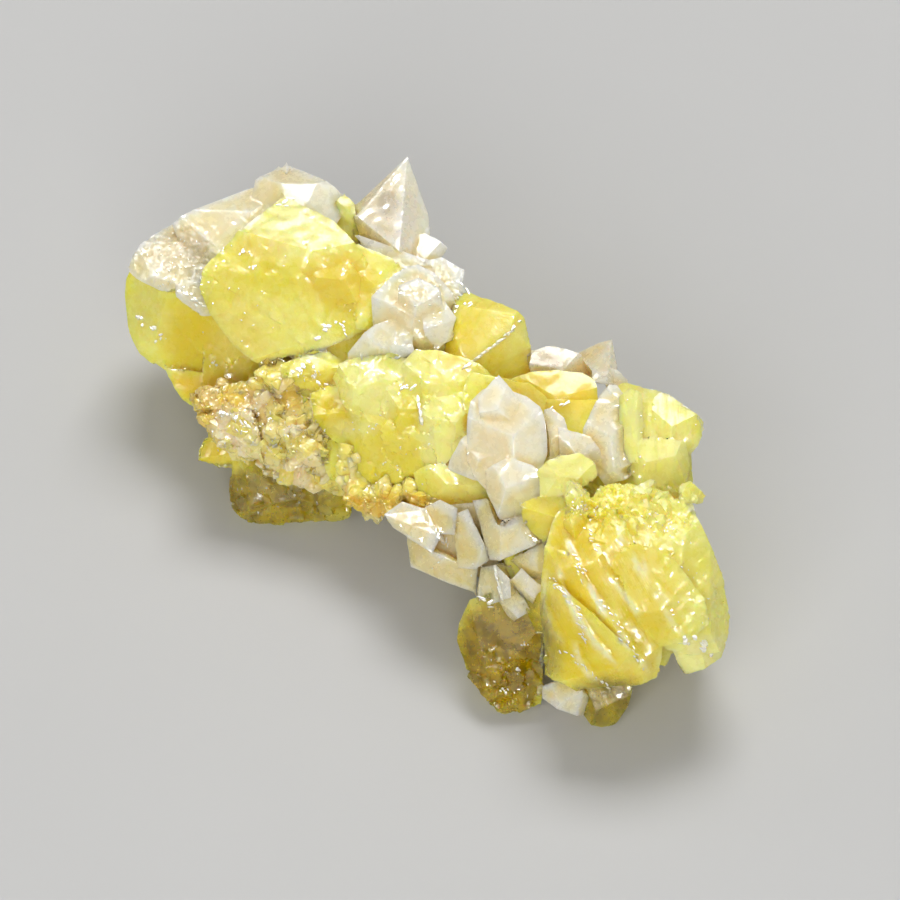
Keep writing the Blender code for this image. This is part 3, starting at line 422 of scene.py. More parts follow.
def relief_sulfur(points, normals):
    """How far the sulfur stands out of its flat faces, mostly inwards."""
    across, down, height = to_sheet(points)
    facing = smooth(normals @ OUT, -0.1, 0.3)
    ragged = 0.25 * rough_noise(points, 2.0, 5)
    relief = 0.045 * rough_noise(points, 2.6, 7, 4)
    relief += terraces(0.24 * rough_noise(points, 4.5, 9, 2), 0.08) - 0.02
    relief -= pits(points, 1.6, 13, 0.05)
    mosaic = patches(across, down, facing, MOSAIC, ragged)
    relief += mosaic * facets(points, 1.1, 15, 0.13)
    relief += (1 - facing) * facets(points, 1.5, 17, 0.14)

    block = patches(across, down, facing, STRIATED, ragged)
    upright = np.stack([across * UNIT / 0.26, down * UNIT / 9.0, height / 2.5], axis=1)
    relief += block * (0.05 * noise(upright, 1.0, 21) - 0.5 * relief)
    for groove in GROOVES:
        slot = (1 - smooth(np.abs(across - groove - 2 * noise(points, 3.0, 23)), 0, 2.6)) * block
        relief -= 0.06 * slot * smooth(down, 384, 396) * (1 - smooth(down, 440, 462))

    broken = patches(across, down, facing, BROKEN, ragged * 0.3)
    relief = relief * (1 - 0.55 * broken) + broken * fracture(across, down, points)

    rubble = patches(across, down, facing, RUBBLE, ragged)
    relief += (facets(points, 0.62, 31, 0.42) + hatch(across, down, points)) * rubble
    speckled = patches(across, down, facing, SPECKLED, ragged)
    relief += facets(points, 0.9, 33, 0.22) * speckled
    feet = patches(across, down, facing, ROUGH_FEET, ragged)
    relief += facets(points, 1.1, 35, 0.35) * feet
    return relief


def pits(points, size, seed, depth):
    """Small dents in about half of the cells."""
    distance, _, lots = cells(points, size, seed)
    wide = size * (0.12 + 0.22 * lots[:, 0])
    return depth * (lots[:, 1] > 0.55) * (1 - smooth(distance, wide * 0.4, wide))


def facets(points, size, seed, tilt):
    """Small tilted planes that meet at edges, as on a druse."""
    distance, offset, lots = cells(points, size, seed)
    lean = (lots - 0.5) * 2 * tilt
    return (offset * lean).sum(axis=1) + 0.35 * size * tilt * (lots[:, 0] - 0.5) - 0.25 * distance * tilt


RIDGES = [
    # each ridge of the break: start, end, rise in mm, width of the near side and of the far side
    ((566, 540), (648, 668), 0.42, 30, 7),
    ((556, 566), (612, 660), 0.26, 22, 5),
    ((590, 530), (640, 612), 0.20, 24, 6),
    ((545, 575), (560, 640), 0.16, 16, 5),
    ((612, 520), (668, 600), 0.14, 26, 8),
    ((640, 560), (690, 640), 0.12, 30, 10),
    ((574, 640), (600, 680), 0.14, 18, 5)]


def beside_ridge(across, down, start, end, wander):
    """How far along a ridge places are, how far beside it, and the ridge's length."""
    (u0, v0), (u1, v1) = start, end
    length = math.hypot(u1 - u0, v1 - v0)
    right, below = (u1 - u0) / length, (v1 - v0) / length
    along = (across - u0) * right + (down - v0) * below
    beside = (across - u0) * below - (down - v0) * right + wander + BOW * np.sin(along / length * 3.1)
    return along, beside, length


def fracture(across, down, points):
    """Long ridges of a shell-like break, each with a broad near side and a steep far side."""
    total = np.zeros(len(across))
    wander = 3.0 * noise(points, 4.0, 51) + 1.2 * noise(points, 1.3, 52)
    for start, end, rise, near, far in RIDGES:
        along, beside, length = beside_ridge(across, down, start, end, wander)
        ends = smooth(along, -12, 14) * (1 - smooth(along, length - 16, length + 12))
        side = np.where(beside < 0, 1 + beside / near, 1 - beside / far)
        total = np.maximum(total, rise * ends * np.clip(side, 0, 1) ** 1.3)
    growth = np.hypot(across - 596, down - 560) + 2.5 * noise(points, 3.0, 55)
    low = smooth(down, 640, 662)
    steps = terraces(growth * UNIT, 0.55) - growth * UNIT
    return total - 0.10 + 0.10 * low * steps


def ridge_highlight_lines(across, down, points):
    """Painted highlights: broken white lines along the ridges of the break."""
    total = np.zeros(len(across))
    wander = 2.0 * noise(points, 2.5, 58) + 1.0 * noise(points, 0.8, 59)
    for start, end, rise, _, _ in RIDGES:
        along, beside, length = beside_ridge(across, down, start, end, wander)
        ends = smooth(along, -10, 10) * (1 - smooth(along, length - 10, length + 10))
        line = 1 - smooth(np.abs(beside), 1.0, 4.5)
        total = np.maximum(total, ends * line * min(1, 0.45 + 1.6 * rise))
    return total * smooth(noise(points, 1.1, 60), -0.5, 0.25)


def hatch(across, down, points):
    """Fine parallel ribs that slant down to the right."""
    beside = (across * 0.84 - down * 0.54) + 2.0 * noise(points, 1.5, 57)
    return 0.05 * np.sin(beside * 1.1)


def carve(obj, relief_of, round_by, most, angle):
    """Rounds the edges, stands the relief out of the faces and thins the mesh."""
    mesh = obj.data
    points = points_of(mesh)
    wear = round_by * (0.55 + 0.45 * noise(points, 1.4, 61))
    points = soften(mesh, points, wear)
    set_points(mesh, points)
    normals = normals_of(mesh)
    points = points + normals * relief_of(points, normals)[:, None]
    set_points(mesh, points)
    thinned(obj, most)
    shade(obj, angle)


def relief_calcite(points, normals):
    """Faint growth steps and a sugary grain."""
    across, down, _ = to_sheet(points)
    relief = 0.035 * rough_noise(points, 2.2, 71, 2) - 0.02
    relief += terraces(0.09 * rough_noise(points, 2.6, 73, 2), 0.04)
    facing = smooth(normals @ OUT, -0.2, 0.2)
    ragged = 0.25 * rough_noise(points, 1.6, 77)
    sugar = patches(across, down, facing, SUGAR, ragged)
    relief += sugar * facets(points, 0.45, 79, 0.17)
    return relief


def relief_crust(points, _):
    """Rounded lumps with a sugary grain."""
    distance, _, lots = cells(points, LUMP, 81)
    relief = (0.16 + 0.22 * lots[:, 0]) * (1 - (distance / 0.8) ** 2) - 0.12
    relief += facets(points, 0.42, 83, 0.32)
    return relief


def tree_of(node):
    """A search tree over a CAD node, in metres."""
    mesh = NODES[node].data
    return BVHTree.FromPolygons([v.co.copy() for v in mesh.vertices],
                                [list(face.vertices) for face in mesh.polygons])


def grow_onto(obj, tree):
    """Draws the faces that look at a neighbour across the clearance into it, so that no slit shows."""
    mesh = obj.data
    points = points_of(mesh)
    moved = points.copy()
    for index, point in enumerate(points):
        found, _, _, distance = tree.find_nearest(Vector(point * MM), JOIN_REACH * MM)
        if found is None or distance / MM < 1e-4:
            continue
        distance /= MM
        pull = 1 - min(max((distance - 0.5 * JOIN_REACH) / (0.5 * JOIN_REACH), 0), 1)
        moved[index] = point + (np.array(found) / MM - point) / distance * (distance + JOIN_SINK) * pull
    set_points(mesh, moved)


def paint_calcite(mesh, tree):
    points, normals = points_of(mesh), normals_of(mesh)
    across, down, _ = to_sheet(points)
    facing = smooth(normals @ OUT, -0.2, 0.2)
    ragged = 0.25 * rough_noise(points, 1.5, 91)
    crevice_shade, edge = crowding(points, normals)
    touch = np.zeros(len(points))
    for index, point in enumerate(points):
        distance = tree.find_nearest(Vector(point * MM), STAIN_REACH * MM)[3]
        touch[index] = 0 if distance is None else 1 - distance / MM / STAIN_REACH
    stain = smooth(touch, 0.35, 0.95) * smooth(rough_noise(points, 2.0, 93), -0.7, 0.5)
    stain = np.maximum(stain, patches(across, down, facing, STAIN_SPOTS, ragged))
    sparkling = patches(across, down, facing, SPARKLE_SPOTS, ragged) + (1 - facing) * 0.5
    put_attribute(mesh, "sparkle", 0.02 + 0.45 * sparkling)
    put_attribute(mesh, "stain", stain)
    put_attribute(mesh, "clear", patches(across, down, facing, SMOKE_SPOTS, ragged))
    put_attribute(mesh, "crevice_shade", crevice_shade)
    # The edge measure is painted as a whitish highlight along sharp edges.
    put_attribute(mesh, "edge", edge)


def paint_crust(mesh, lots=None):
    points, normals = points_of(mesh), normals_of(mesh)
    across, down, _ = to_sheet(points)
    ragged = 0.25 * rough_noise(points, 1.2, 95)
    crevice_shade, _ = crowding(points, normals)
    if lots is None:
        lots = cells(points, LUMP, 81)[2]
    amber = patches(across, down, np.ones(len(across)), CRUST_AMBER_SPOTS, ragged)
    put_attribute(mesh, "amber", np.maximum(amber, 0.6 * (lots[:, 0] > 0.92)))
    yellow = (lots[:, 1] > 0.45) * (0.4 + 0.6 * lots[:, 2])
    put_attribute(mesh, "yellow", yellow + 0.5 * smooth(across, 290, 350))
    put_attribute(mesh, "crevice_shade", crevice_shade)


# ---------------------------------------------------------------- materials

class Shader:
    """A Principled material with short ways to add nodes."""

    def __init__(self, name):
        self.material = bpy.data.materials.new(name)
        self.material.use_nodes = True
        self.tree = self.material.node_tree
        self.main = self.tree.nodes["Principled BSDF"]
        self.place = self.tree.nodes.new("ShaderNodeTexCoord").outputs["Object"]

    def node(self, kind, **settings):
        node = self.tree.nodes.new(kind)
        for key, value in settings.items():
            setattr(node, key, value)
        return node

    def link(self, source, target):
        self.tree.links.new(source, target)

    def set(self, **values):
        for key, value in values.items():
            self.main.inputs[key.replace("_", " ")].default_value = value

    def attribute(self, name):
        return self.node("ShaderNodeAttribute", attribute_name=name).outputs["Fac"]

    def noise(self, size_mm, detail=4.0, rough=0.55, distortion=0.0, place=None):
        node = self.node("ShaderNodeTexNoise")
        self.link(place or self.place, node.inputs["Vector"])
        node.inputs["Scale"].default_value = 1 / (size_mm * MM)
        node.inputs["Detail"].default_value = detail
        node.inputs["Roughness"].default_value = rough
        node.inputs["Distortion"].default_value = distortion
        return node.outputs["Fac"]

    def cells(self, size_mm):
        """A colour drawn by lot for each cell."""
        node = self.node("ShaderNodeTexVoronoi", feature="F1")
        self.link(self.place, node.inputs["Vector"])
        node.inputs["Scale"].default_value = 1 / (size_mm * MM)
        return node.outputs["Color"]

    def ribs(self, turn, wide_mm, long_mm):
        """Noise drawn out along one direction of the sheet."""
        sheet = self.node("ShaderNodeAttribute", attribute_name="sheet").outputs["Vector"]
        turned = self.node("ShaderNodeVectorRotate", rotation_type="Z_AXIS")
        turned.inputs["Angle"].default_value = math.radians(turn)
        self.link(sheet, turned.inputs["Vector"])
        drawn = self.node("ShaderNodeVectorMath", operation="MULTIPLY")
        self.link(turned.outputs[0], drawn.inputs[0])
        drawn.inputs[1].default_value = (1 / wide_mm, 1 / long_mm, 0.4)
        return self.noise(1 / MM, 4.0, 0.6, place=drawn.outputs[0])     # the place is already scaled

    def ranged(self, value, low, high, to_low=0.0, to_high=1.0):
        node = self.node("ShaderNodeMapRange")
        node.interpolation_type = "SMOOTHSTEP"
        self.link(value, node.inputs["Value"])
        for key, number in zip(("From Min", "From Max", "To Min", "To Max"), (low, high, to_low, to_high)):
            node.inputs[key].default_value = number
        return node.outputs["Result"]

    def maths(self, operation, first, second):
        node = self.node("ShaderNodeMath", operation=operation)
        for socket, value in zip(node.inputs, (first, second)):
            if isinstance(value, (int, float)):
                socket.default_value = value
            else:
                self.link(value, socket)
        return node.outputs[0]

    def mix(self, factor, first, second, blend="MIX"):
        node = self.node("ShaderNodeMix", data_type="RGBA", blend_type=blend)
        if isinstance(factor, (int, float)):
            node.inputs["Factor"].default_value = factor
        else:
            self.link(factor, node.inputs["Factor"])
        for socket, value in ((node.inputs[6], first), (node.inputs[7], second)):   # the colour sockets
            if isinstance(value, tuple):
                socket.default_value = (*value, 1)
            else:
                self.link(value, socket)
        return node.outputs[2]

    def bump(self, height, strength, distance_mm, under=None):
        node = self.node("ShaderNodeBump")
        node.inputs["Strength"].default_value = strength
        node.inputs["Distance"].default_value = distance_mm * MM
        self.link(height, node.inputs["Height"])
        if under is not None:
            self.link(under, node.inputs["Normal"])
        return node.outputs["Normal"]

    def sparkle(self, size_mm, lean, waves):
        """Leans the coat's normal a different way in each small cell, as tiny crystal faces do."""
        lots = self.cells(size_mm)
        spread = self.node("ShaderNodeVectorMath", operation="SUBTRACT")
        self.link(lots, spread.inputs[0])
        spread.inputs[1].default_value = (0.5, 0.5, 0.5)
        scaled = self.node("ShaderNodeVectorMath", operation="SCALE")
        self.link(spread.outputs[0], scaled.inputs[0])
        self.link(lean, scaled.inputs["Scale"])
        total = self.node("ShaderNodeVectorMath", operation="ADD")
        self.link(waves, total.inputs[0])
        self.link(scaled.outputs[0], total.inputs[1])
        unit = self.node("ShaderNodeVectorMath", operation="NORMALIZE")
        self.link(total.outputs[0], unit.inputs[0])
        self.link(unit.outputs[0], self.main.inputs["Coat Normal"])

    def absorb(self, colour, density):
        node = self.node("ShaderNodeVolumeAbsorption")
        node.inputs["Color"].default_value = (*colour, 1)
        node.inputs["Density"].default_value = density
        self.link(node.outputs["Volume"], self.tree.nodes["Material Output"].inputs["Volume"])


def sulfur_material():
    s = Shader("sulfur")
    mottle = s.ranged(s.noise(1.7, 6, 0.6, 0.6), 0.36, 0.66)
    fine = s.ranged(s.noise(0.45, 5, 0.65, 1.2), 0.40, 0.66)
    grit = s.ranged(s.noise(0.9, 6, 0.7, 1.6), 0.52, 0.66)
    colour = s.mix(mottle, (0.89, 0.80, 0.085), (0.92, 0.865, 0.16))
    inner = s.ranged(s.noise(2.6, 5, 0.6, 1.2), 0.50, 0.66)
    colour = s.mix(s.maths("MULTIPLY", inner, 0.45), colour, (0.83, 0.70, 0.03))
    colour = s.mix(s.maths("MULTIPLY", grit, 0.42), colour, (0.80, 0.66, 0.02))
    colour = s.mix(s.maths("MULTIPLY", fine, 0.32), colour, (0.98, 0.93, 0.38))
    # Darker gold: partly thick saturated crystal, partly painted shade.
    colour = s.mix(s.maths("MULTIPLY", s.attribute("deep_and_shaded"), 0.9), colour, (0.80, 0.62, 0.012))
    veil = s.ranged(s.noise(0.9, 5, 0.6), 0.2, 0.6, 0.60, 1.0)
    # Whitish lemon: partly frosting, partly painted light on lit faces and a painted highlight on sharp
    # edges.
    colour = s.mix(s.maths("MULTIPLY", s.attribute("pale_and_lit"), veil), colour, (0.98, 0.89, 0.33))
    colour = s.mix(s.maths("MULTIPLY", s.attribute("amber"), 0.8), colour, (0.85, 0.60, 0.03))
    murk = s.ranged(s.noise(1.5, 5, 0.6, 0.8), 0.40, 0.60)
    olive = s.mix(murk, (0.46, 0.35, 0.0), (0.86, 0.68, 0.0))
    slanted = s.ribs(29, 0.30, 4.0)
    upright = s.ribs(0, 0.24, 6.0)
    veins = s.maths("MULTIPLY", s.ranged(slanted, 0.55, 0.72),
                    s.maths("MULTIPLY", s.attribute("broken"), 0.08))
    colour = s.mix(veins, colour, (0.98, 0.94, 0.45))
    # Painted highlight: near-white broken lines along the ridges of the break.
    colour = s.mix(s.maths("MULTIPLY", s.attribute("ridge_highlight"), 0.8), colour, (0.99, 0.97, 0.72))
    lines = s.maths("MULTIPLY", s.ranged(upright, 0.52, 0.70),
                    s.maths("MULTIPLY", s.attribute("striated"), 0.25))
    colour = s.mix(lines, colour, (0.98, 0.95, 0.48))
    # Painted crevice shade: darker orange far into the crevices.
    colour = s.mix(s.ranged(s.attribute("crevice_shade"), 0.3, 1.0, 0.0, 0.65), colour, (0.78, 0.47, 0.01))
    colour = s.mix(s.attribute("clear"), colour, olive)
    s.link(colour, s.main.inputs["Base Color"])
    s.link(s.maths("MULTIPLY", s.attribute("clear"), 0.7), s.main.inputs["Transmission Weight"])
    s.link(s.ranged(s.noise(0.8, 5, 0.6), 0.3, 0.7, 0.18, 0.36), s.main.inputs["Roughness"])
    s.set(IOR=1.6, Subsurface_Weight=0.9, Subsurface_Radius=(1.0, 0.74, 0.10), Subsurface_Scale=1.2 * MM,
          Coat_Weight=0.5, Coat_Roughness=0.05)
    waves = s.bump(s.noise(0.9, 2, 0.5), 0.22, 0.12)
    s.sparkle(0.24, s.attribute("sparkle"), waves)
    normal = s.bump(s.noise(0.30, 4, 0.6), 0.42, 0.04)
    rough_ribs = s.maths("ADD", s.maths("MULTIPLY", slanted, s.attribute("broken")),
                         s.maths("MULTIPLY", upright, s.attribute("striated")))
    normal = s.bump(rough_ribs, 0.5, 0.08, normal)
    s.link(normal, s.main.inputs["Normal"])
    s.absorb((0.97, 0.84, 0.06), 240)
    return s.material


def calcite_material(name, tint, depth, clarity, honey):
    s = Shader(name)
    milk = s.ranged(s.noise(1.6, 6, 0.6, 0.5), 0.35, 0.68)
    colour = s.mix(milk, (0.89, 0.745, 0.44), (0.93, 0.825, 0.58))
    inner = s.ranged(s.noise(2.0, 5, 0.6, 0.8), 0.44, 0.66)
    colour = s.mix(s.maths("MULTIPLY", inner, honey), colour, (0.84, 0.695, 0.31))
    colour = s.mix(s.maths("MULTIPLY", s.attribute("stain"), 0.8), colour, tint)
    colour = s.mix(s.maths("MULTIPLY", s.attribute("clear"), 0.75), colour, (0.63, 0.55, 0.38))
    # Painted crevice shade: darker and yellower in the crevices.
    colour = s.mix(s.ranged(s.attribute("crevice_shade"), 0.35, 1.0, 0.0, 0.6), colour, (0.86, 0.66, 0.17))
    # Painted highlight: near-white along sharp edges.
    colour = s.mix(s.maths("MULTIPLY", s.attribute("edge"), 0.6), colour, (0.98, 0.95, 0.88))
    s.link(colour, s.main.inputs["Base Color"])
    s.link(s.maths("ADD", s.maths("MULTIPLY", s.attribute("clear"), 0.30), clarity),
           s.main.inputs["Transmission Weight"])
    s.link(s.ranged(s.noise(0.6, 5, 0.6), 0.3, 0.7, 0.18, 0.36), s.main.inputs["Roughness"])
    s.set(IOR=1.55, Subsurface_Weight=0.9, Subsurface_Radius=(1.0, 0.85, 0.6), Subsurface_Scale=depth * MM,
          Coat_Weight=0.8, Coat_Roughness=0.05)
    waves = s.bump(s.noise(0.9, 2, 0.5), 0.2, 0.12)
    s.sparkle(0.24, s.attribute("sparkle"), waves)
    normal = s.bump(s.noise(0.7, 3, 0.5), 0.15, 0.04)
    s.link(normal, s.main.inputs["Normal"])
    s.absorb((0.98, 0.92, 0.74), 90)
    return s.material


def crust_material(name, depth):
    s = Shader(name)
    grain = s.ranged(s.noise(0.8, 5, 0.6), 0.35, 0.68)
    colour = s.mix(grain, (0.82, 0.66, 0.34), (0.90, 0.79, 0.52))
    colour = s.mix(s.maths("MULTIPLY", s.attribute("yellow"), 0.85), colour, (0.88, 0.75, 0.13))
    colour = s.mix(s.maths("MULTIPLY", s.attribute("amber"), 0.85), colour, (0.80, 0.52, 0.06))
    # Painted crevice shade: dark brown in the crevices and between the grains.
    colour = s.mix(s.ranged(s.attribute("crevice_shade"), 0.30, 0.9, 0.0, 0.75), colour, (0.66, 0.38, 0.03))
    s.link(colour, s.main.inputs["Base Color"])
    s.link(s.ranged(s.noise(0.5, 4, 0.6), 0.3, 0.7, 0.08, 0.30), s.main.inputs["Roughness"])
    s.set(IOR=1.6, Subsurface_Weight=0.8, Subsurface_Radius=(1.0, 0.8, 0.4), Subsurface_Scale=depth * MM,
          Coat_Weight=0.4, Coat_Roughness=0.06)
    s.link(s.bump(s.noise(0.2, 5, 0.6), 0.25, 0.04), s.main.inputs["Normal"])
    return s.material


# ---------------------------------------------------------------- pieces

def dress(obj, material, slot, *nodes):
    obj.data.materials.clear()
    obj.data.materials.append(material)
    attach(obj, "root")
    if nodes:
        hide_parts(*nodes)


def build_sulfur():
    obj = fine_object("sulfur_crystals", "sulfur_surface", 0.17)
    carve(obj, relief_sulfur, 0.30, 190000, 26)
    paint_sulfur(obj.data)
    dress(obj, sulfur_material(), "sulfur", "sulfur_crystals")
    return obj


CALCITES = {
    # slot, look, cell of the fine mesh in mm, most triangles
    "calcite_ridge": ("calcite", "calcite", 0.14, 70000),
    "calcite_spire": ("calcite", "calcite", 0.12, 60000),
    "calcite_centre": ("calcite", "calcite", 0.11, 40000),
    "calcite_points": ("stained_calcite", "honey", 0.11, 24000),
    "calcite_column": ("calcite", "thin", 0.11, 20000),
    "calcite_teeth": ("calcite", "thin", 0.11, 60000),
    "calcite_chip": ("calcite", "thin", 0.11, 8000),
}


def build_calcites(tree):
    materials = {
        "calcite": calcite_material("calcite", (0.93, 0.80, 0.30), 2.0, 0.04, 0.35),
        "thin": calcite_material("thin_calcite", (0.90, 0.72, 0.26), 1.4, 0.12, 0.95),
        "honey": calcite_material("stained_calcite", (0.93, 0.68, 0.20), 0.8, 0.20, 0.5)}
    for node, (slot, look, cell, most) in CALCITES.items():
        obj = fine_object(node, node + "_surface", cell)
        grow_onto(obj, tree)
        carve(obj, relief_calcite, 0.35, most, 36)
        paint_calcite(obj.data, tree)
        dress(obj, materials[look], slot, node)


GRAIN_COUNT = 300
GRAIN_SIZES = (0.35, 1.2)          # smallest and largest grain, in mm
GRAIN_SINK = 0.22                  # how deep a grain's middle lies, as a share of its size


def grain_shapes(rng, count, corners):
    """A few small crystals, each the hull of points on a ball, as (points, faces)."""
    shapes = []
    for _ in range(count):
        bm = bmesh.new()
        for _ in range(corners):
            spot = rng.normal(size=3)
            bm.verts.new(spot / np.linalg.norm(spot) * (1, 0.9, 0.7))
        bmesh.ops.convex_hull(bm, input=bm.verts)
        bmesh.ops.recalc_face_normals(bm, faces=bm.faces)
        bm.verts.index_update()
        points = np.array([v.co for v in bm.verts])
        shapes.append((points, [tuple(v.index for v in face.verts) for face in bm.faces]))
        bm.free()
    return shapes


def turn_matrix(rng):
    """A random turn."""
    matrix, _ = np.linalg.qr(rng.normal(size=(3, 3)))
    return matrix * np.sign(np.linalg.det(matrix))


def scatter(name, sources, count, sizes, weight_of, seed):
    """Small crystals half sunk in the surfaces of some pieces, all in one mesh."""
    rng = np.random.default_rng(seed)
    shapes = grain_shapes(rng, 8, 14)
    spots, facings, weights = [], [], []
    for source in sources:
        faces = source.data.polygons
        centre, normal = np.empty(len(faces) * 3), np.empty(len(faces) * 3)
        area = np.empty(len(faces))
        faces.foreach_get("center", centre)
        faces.foreach_get("normal", normal)
        faces.foreach_get("area", area)
        centre, normal = centre.reshape(-1, 3) / MM, normal.reshape(-1, 3)
        spots.append(centre)
        facings.append(normal)
        weights.append(area * weight_of(normal))
    spots, facings, weights = np.concatenate(spots), np.concatenate(facings), np.concatenate(weights)
    picks = rng.choice(len(spots), count, p=weights / weights.sum())
    points, faces, lots = [], [], []
    start = 0
    for pick in picks:
        shape, sides = shapes[rng.integers(len(shapes))]
        size = sizes[0] + (sizes[1] - sizes[0]) * rng.random() ** 2
        placed = shape @ turn_matrix(rng).T * size / 2 + spots[pick] - facings[pick] * size * GRAIN_SINK
        points.append(placed)
        faces += [tuple(start + index for index in side) for side in sides]
        lots.append(np.tile(rng.random(3), (len(shape), 1)))
        start += len(shape)
    points, lots = np.concatenate(points), np.concatenate(lots)
    mesh = bpy.data.meshes.new(name)
    mesh.from_pydata(points * MM, [], faces)
    set_points(mesh, points)
    obj = bpy.data.objects.new(name, mesh)
    bpy.context.scene.collection.objects.link(obj)
    return obj, lots


def crust_weight(normal):
    """Grains crowd where the crust faces outwards on the show side."""
    return 0.25 + smooth(normal @ OUT, -0.2, 0.4)


def build_crust(tree):
    material = crust_material("crust", 0.8)
    pieces = []
    for node, most in (("crust", 80000), ("crust_edge", 50000)):
        obj = fine_object(node, node + "_surface", 0.11)
        grow_onto(obj, tree)
        carve(obj, relief_crust, 0.25, most, 30)
        paint_crust(obj.data)
        dress(obj, material, "crust", node)
        pieces.append(obj)
    grains, lots = scatter("crust_grains", pieces, GRAIN_COUNT, GRAIN_SIZES, crust_weight, 4)
    shade(grains, 48)
    paint_crust(grains.data, lots)
    dress(grains, crust_material("crust_grains", 0.5), "crust")


# ---------------------------------------------------------------- glint plates, whitish shards standing in for glints

GLINT_FLAKES = [
    # across, down, length and width in sheet units, turn from the right in degrees clockwise
    (285, 200, 9, 4, -30), (245, 250, 7, 4, 20), (252, 268, 6, 4, 0), (328, 328, 12, 6, -20),
    (337, 322, 6, 4, 30), (304, 366, 11, 6, 0), (313, 374, 8, 5, 40), (319, 381, 9, 4, 30),
    (298, 372, 6, 5, 0), (182, 288, 8, 5, 35), (190, 296, 10, 5, 40), (199, 305, 9, 4, 45),
    (141, 318, 10, 6, 20), (150, 324, 8, 5, 30), (158, 338, 6, 4, 0), (212, 364, 5, 4, 0),
    (485, 352, 44, 4, -37), (510, 331, 13, 3, -37), (517, 324, 9, 3, -37), (466, 288, 15, 4, 40),
    (464, 304, 13, 4, -30), (411, 387, 15, 5, -25), (420, 409, 22, 5, 82), (563, 404, 16, 3, -10),
    (499, 584, 34, 6, 78), (488, 601, 18, 4, 8), (447, 540, 17, 5, 70), (440, 534, 10, 4, 60),
    (533, 538, 7, 4, 0), (222, 414, 7, 5, 0), (245, 424, 15, 6, 45), (518, 669, 8, 5, 20),
    (525, 644, 5, 4, 0), (505, 690, 6, 3, 60), (454, 600, 5, 4, 0), (700, 646, 16, 8, 30),
    (684, 640, 10, 7, 70), (344, 330, 8, 4, 60)]
GLINT_STREAKS = [
    # rows of fine slivers along the ridges of the break: start, end, how many
    ((549, 577), (575, 607), 9), ((575, 610), (582, 640), 6), ((571, 552), (582, 575), 6),
    ((600, 597), (639, 663), 13), ((585, 528), (595, 550), 4), ((560, 648), (610, 684), 6)]
GLINT_PATCHES = [
    # patches of fine glint shards: middle, half width, half height, how many
    ((580, 507), 20, 12, 30), ((662, 524), 32, 18, 26), ((168, 258), 34, 26, 34), ((311, 373), 15, 9, 12),
    ((258, 428), 66, 34, 60), ((395, 462), 56, 34, 26), ((505, 668), 24, 32, 12), ((262, 496), 56, 18, 16),
    ((420, 300), 34, 34, 14), ((366, 428), 16, 10, 8), ((690, 590), 22, 44, 12), ((470, 560), 50, 34, 14),
    ((250, 300), 60, 60, 16), ((655, 440), 40, 50, 8)]


STRAIGHT = 20                      # a flake longer than this is a straight row of shards, the others a heap
SHARD, SHARD_STEP = 15, 7          # a shard's length in such a row, and how far apart they start
FLAKE_LEAN = 0.85                  # how far a flake turns from its surface to the key light's glint
ABOVE = 30                         # how high over the sheet the search for a flake's place starts, in mm


def flake_outline(rng, length, width):
    """An uneven shard with five or six corners."""
    count = int(rng.integers(5, 7))
    angles = (np.arange(count) + 0.5 * rng.random(count)) / count * 2 * math.pi
    reach = 0.55 + 0.55 * rng.random(count)
    return np.stack([np.cos(angles) * length / 2 * reach, np.sin(angles) * width / 2 * reach], axis=1)


def all_flakes(rng):
    """Every flake as across, down, length, width and turn."""
    rows = []
    for u, v, length, width, turn in GLINT_FLAKES:
        radians = math.radians(turn)
        straight = length > STRAIGHT
        stray = 0.04 if straight else 0.5
        for share in np.arange(-0.5, 0.5, SHARD_STEP / length if straight else 0.30):
            part = SHARD if straight else rng.uniform(0.3, 1.0) * length
            wide = width if straight else rng.uniform(0.4, 1.1) * width
            rows.append((u + share * length * math.cos(radians) + rng.normal(0, stray) * width,
                         v + share * length * math.sin(radians) + rng.normal(0, stray) * width,
                         part, wide, turn + rng.normal(0, 1 if straight else 25)))
    for (u0, v0), (u1, v1), count in GLINT_STREAKS:
        for share in np.linspace(0, 1, 2 * count):
            u, v = u0 + (u1 - u0) * share, v0 + (v1 - v0) * share
            rows.append((u + rng.normal(0, 2.0), v + rng.normal(0, 1.5),
                         rng.uniform(3, 8), rng.uniform(1.0, 2.0), rng.normal(40, 18)))
    for (u, v), wide, tall, count in GLINT_PATCHES:
        for _ in range(count):
            rows.append((u + rng.normal(0, 0.5) * wide, v + rng.normal(0, 0.5) * tall,
                         rng.uniform(1.4, 4.0), rng.uniform(0.8, 1.8), rng.normal(20, 45)))
    return rows


def add_flake(points, faces, rng, spot, normal, along, length, width):
    """A thin plate with its top just proud of the surface."""
    side = along - normal * (along @ normal)
    side /= np.linalg.norm(side)
    other = np.cross(normal, side)
    outline = flake_outline(rng, length, width)
    start, count = len(points), len(outline)
    for scale, depth in ((0.82, 0.08), (1.0, 0.02), (1.0, -0.25)):
        for x, y in outline * scale:
            points.append(spot + side * x + other * y + normal * depth)
    faces.append(tuple(range(start, start + count)))
    faces.append(tuple(range(start + 3 * count - 1, start + 2 * count - 1, -1)))
    for ring in (0, 1):
        for corner in range(count):
            after = (corner + 1) % count
            one, two = start + ring * count + corner, start + ring * count + after
            faces.append((one, one + count, two + count, two))


def glint_flake_material():
    s = Shader("flakes")
    # Near-white colour: a painted glint, on plates that also really reflect the key light.
    colour = s.mix(s.ranged(s.noise(0.5, 3), 0.3, 0.7), (0.96, 0.93, 0.74), (0.98, 0.97, 0.90))
    s.link(colour, s.main.inputs["Base Color"])
    s.set(Roughness=0.15, IOR=2.0, Subsurface_Weight=0.3, Subsurface_Radius=(1.0, 0.8, 0.4),
          Subsurface_Scale=0.1 * MM, Coat_Weight=0.6, Coat_Roughness=0.04)
    return s.material


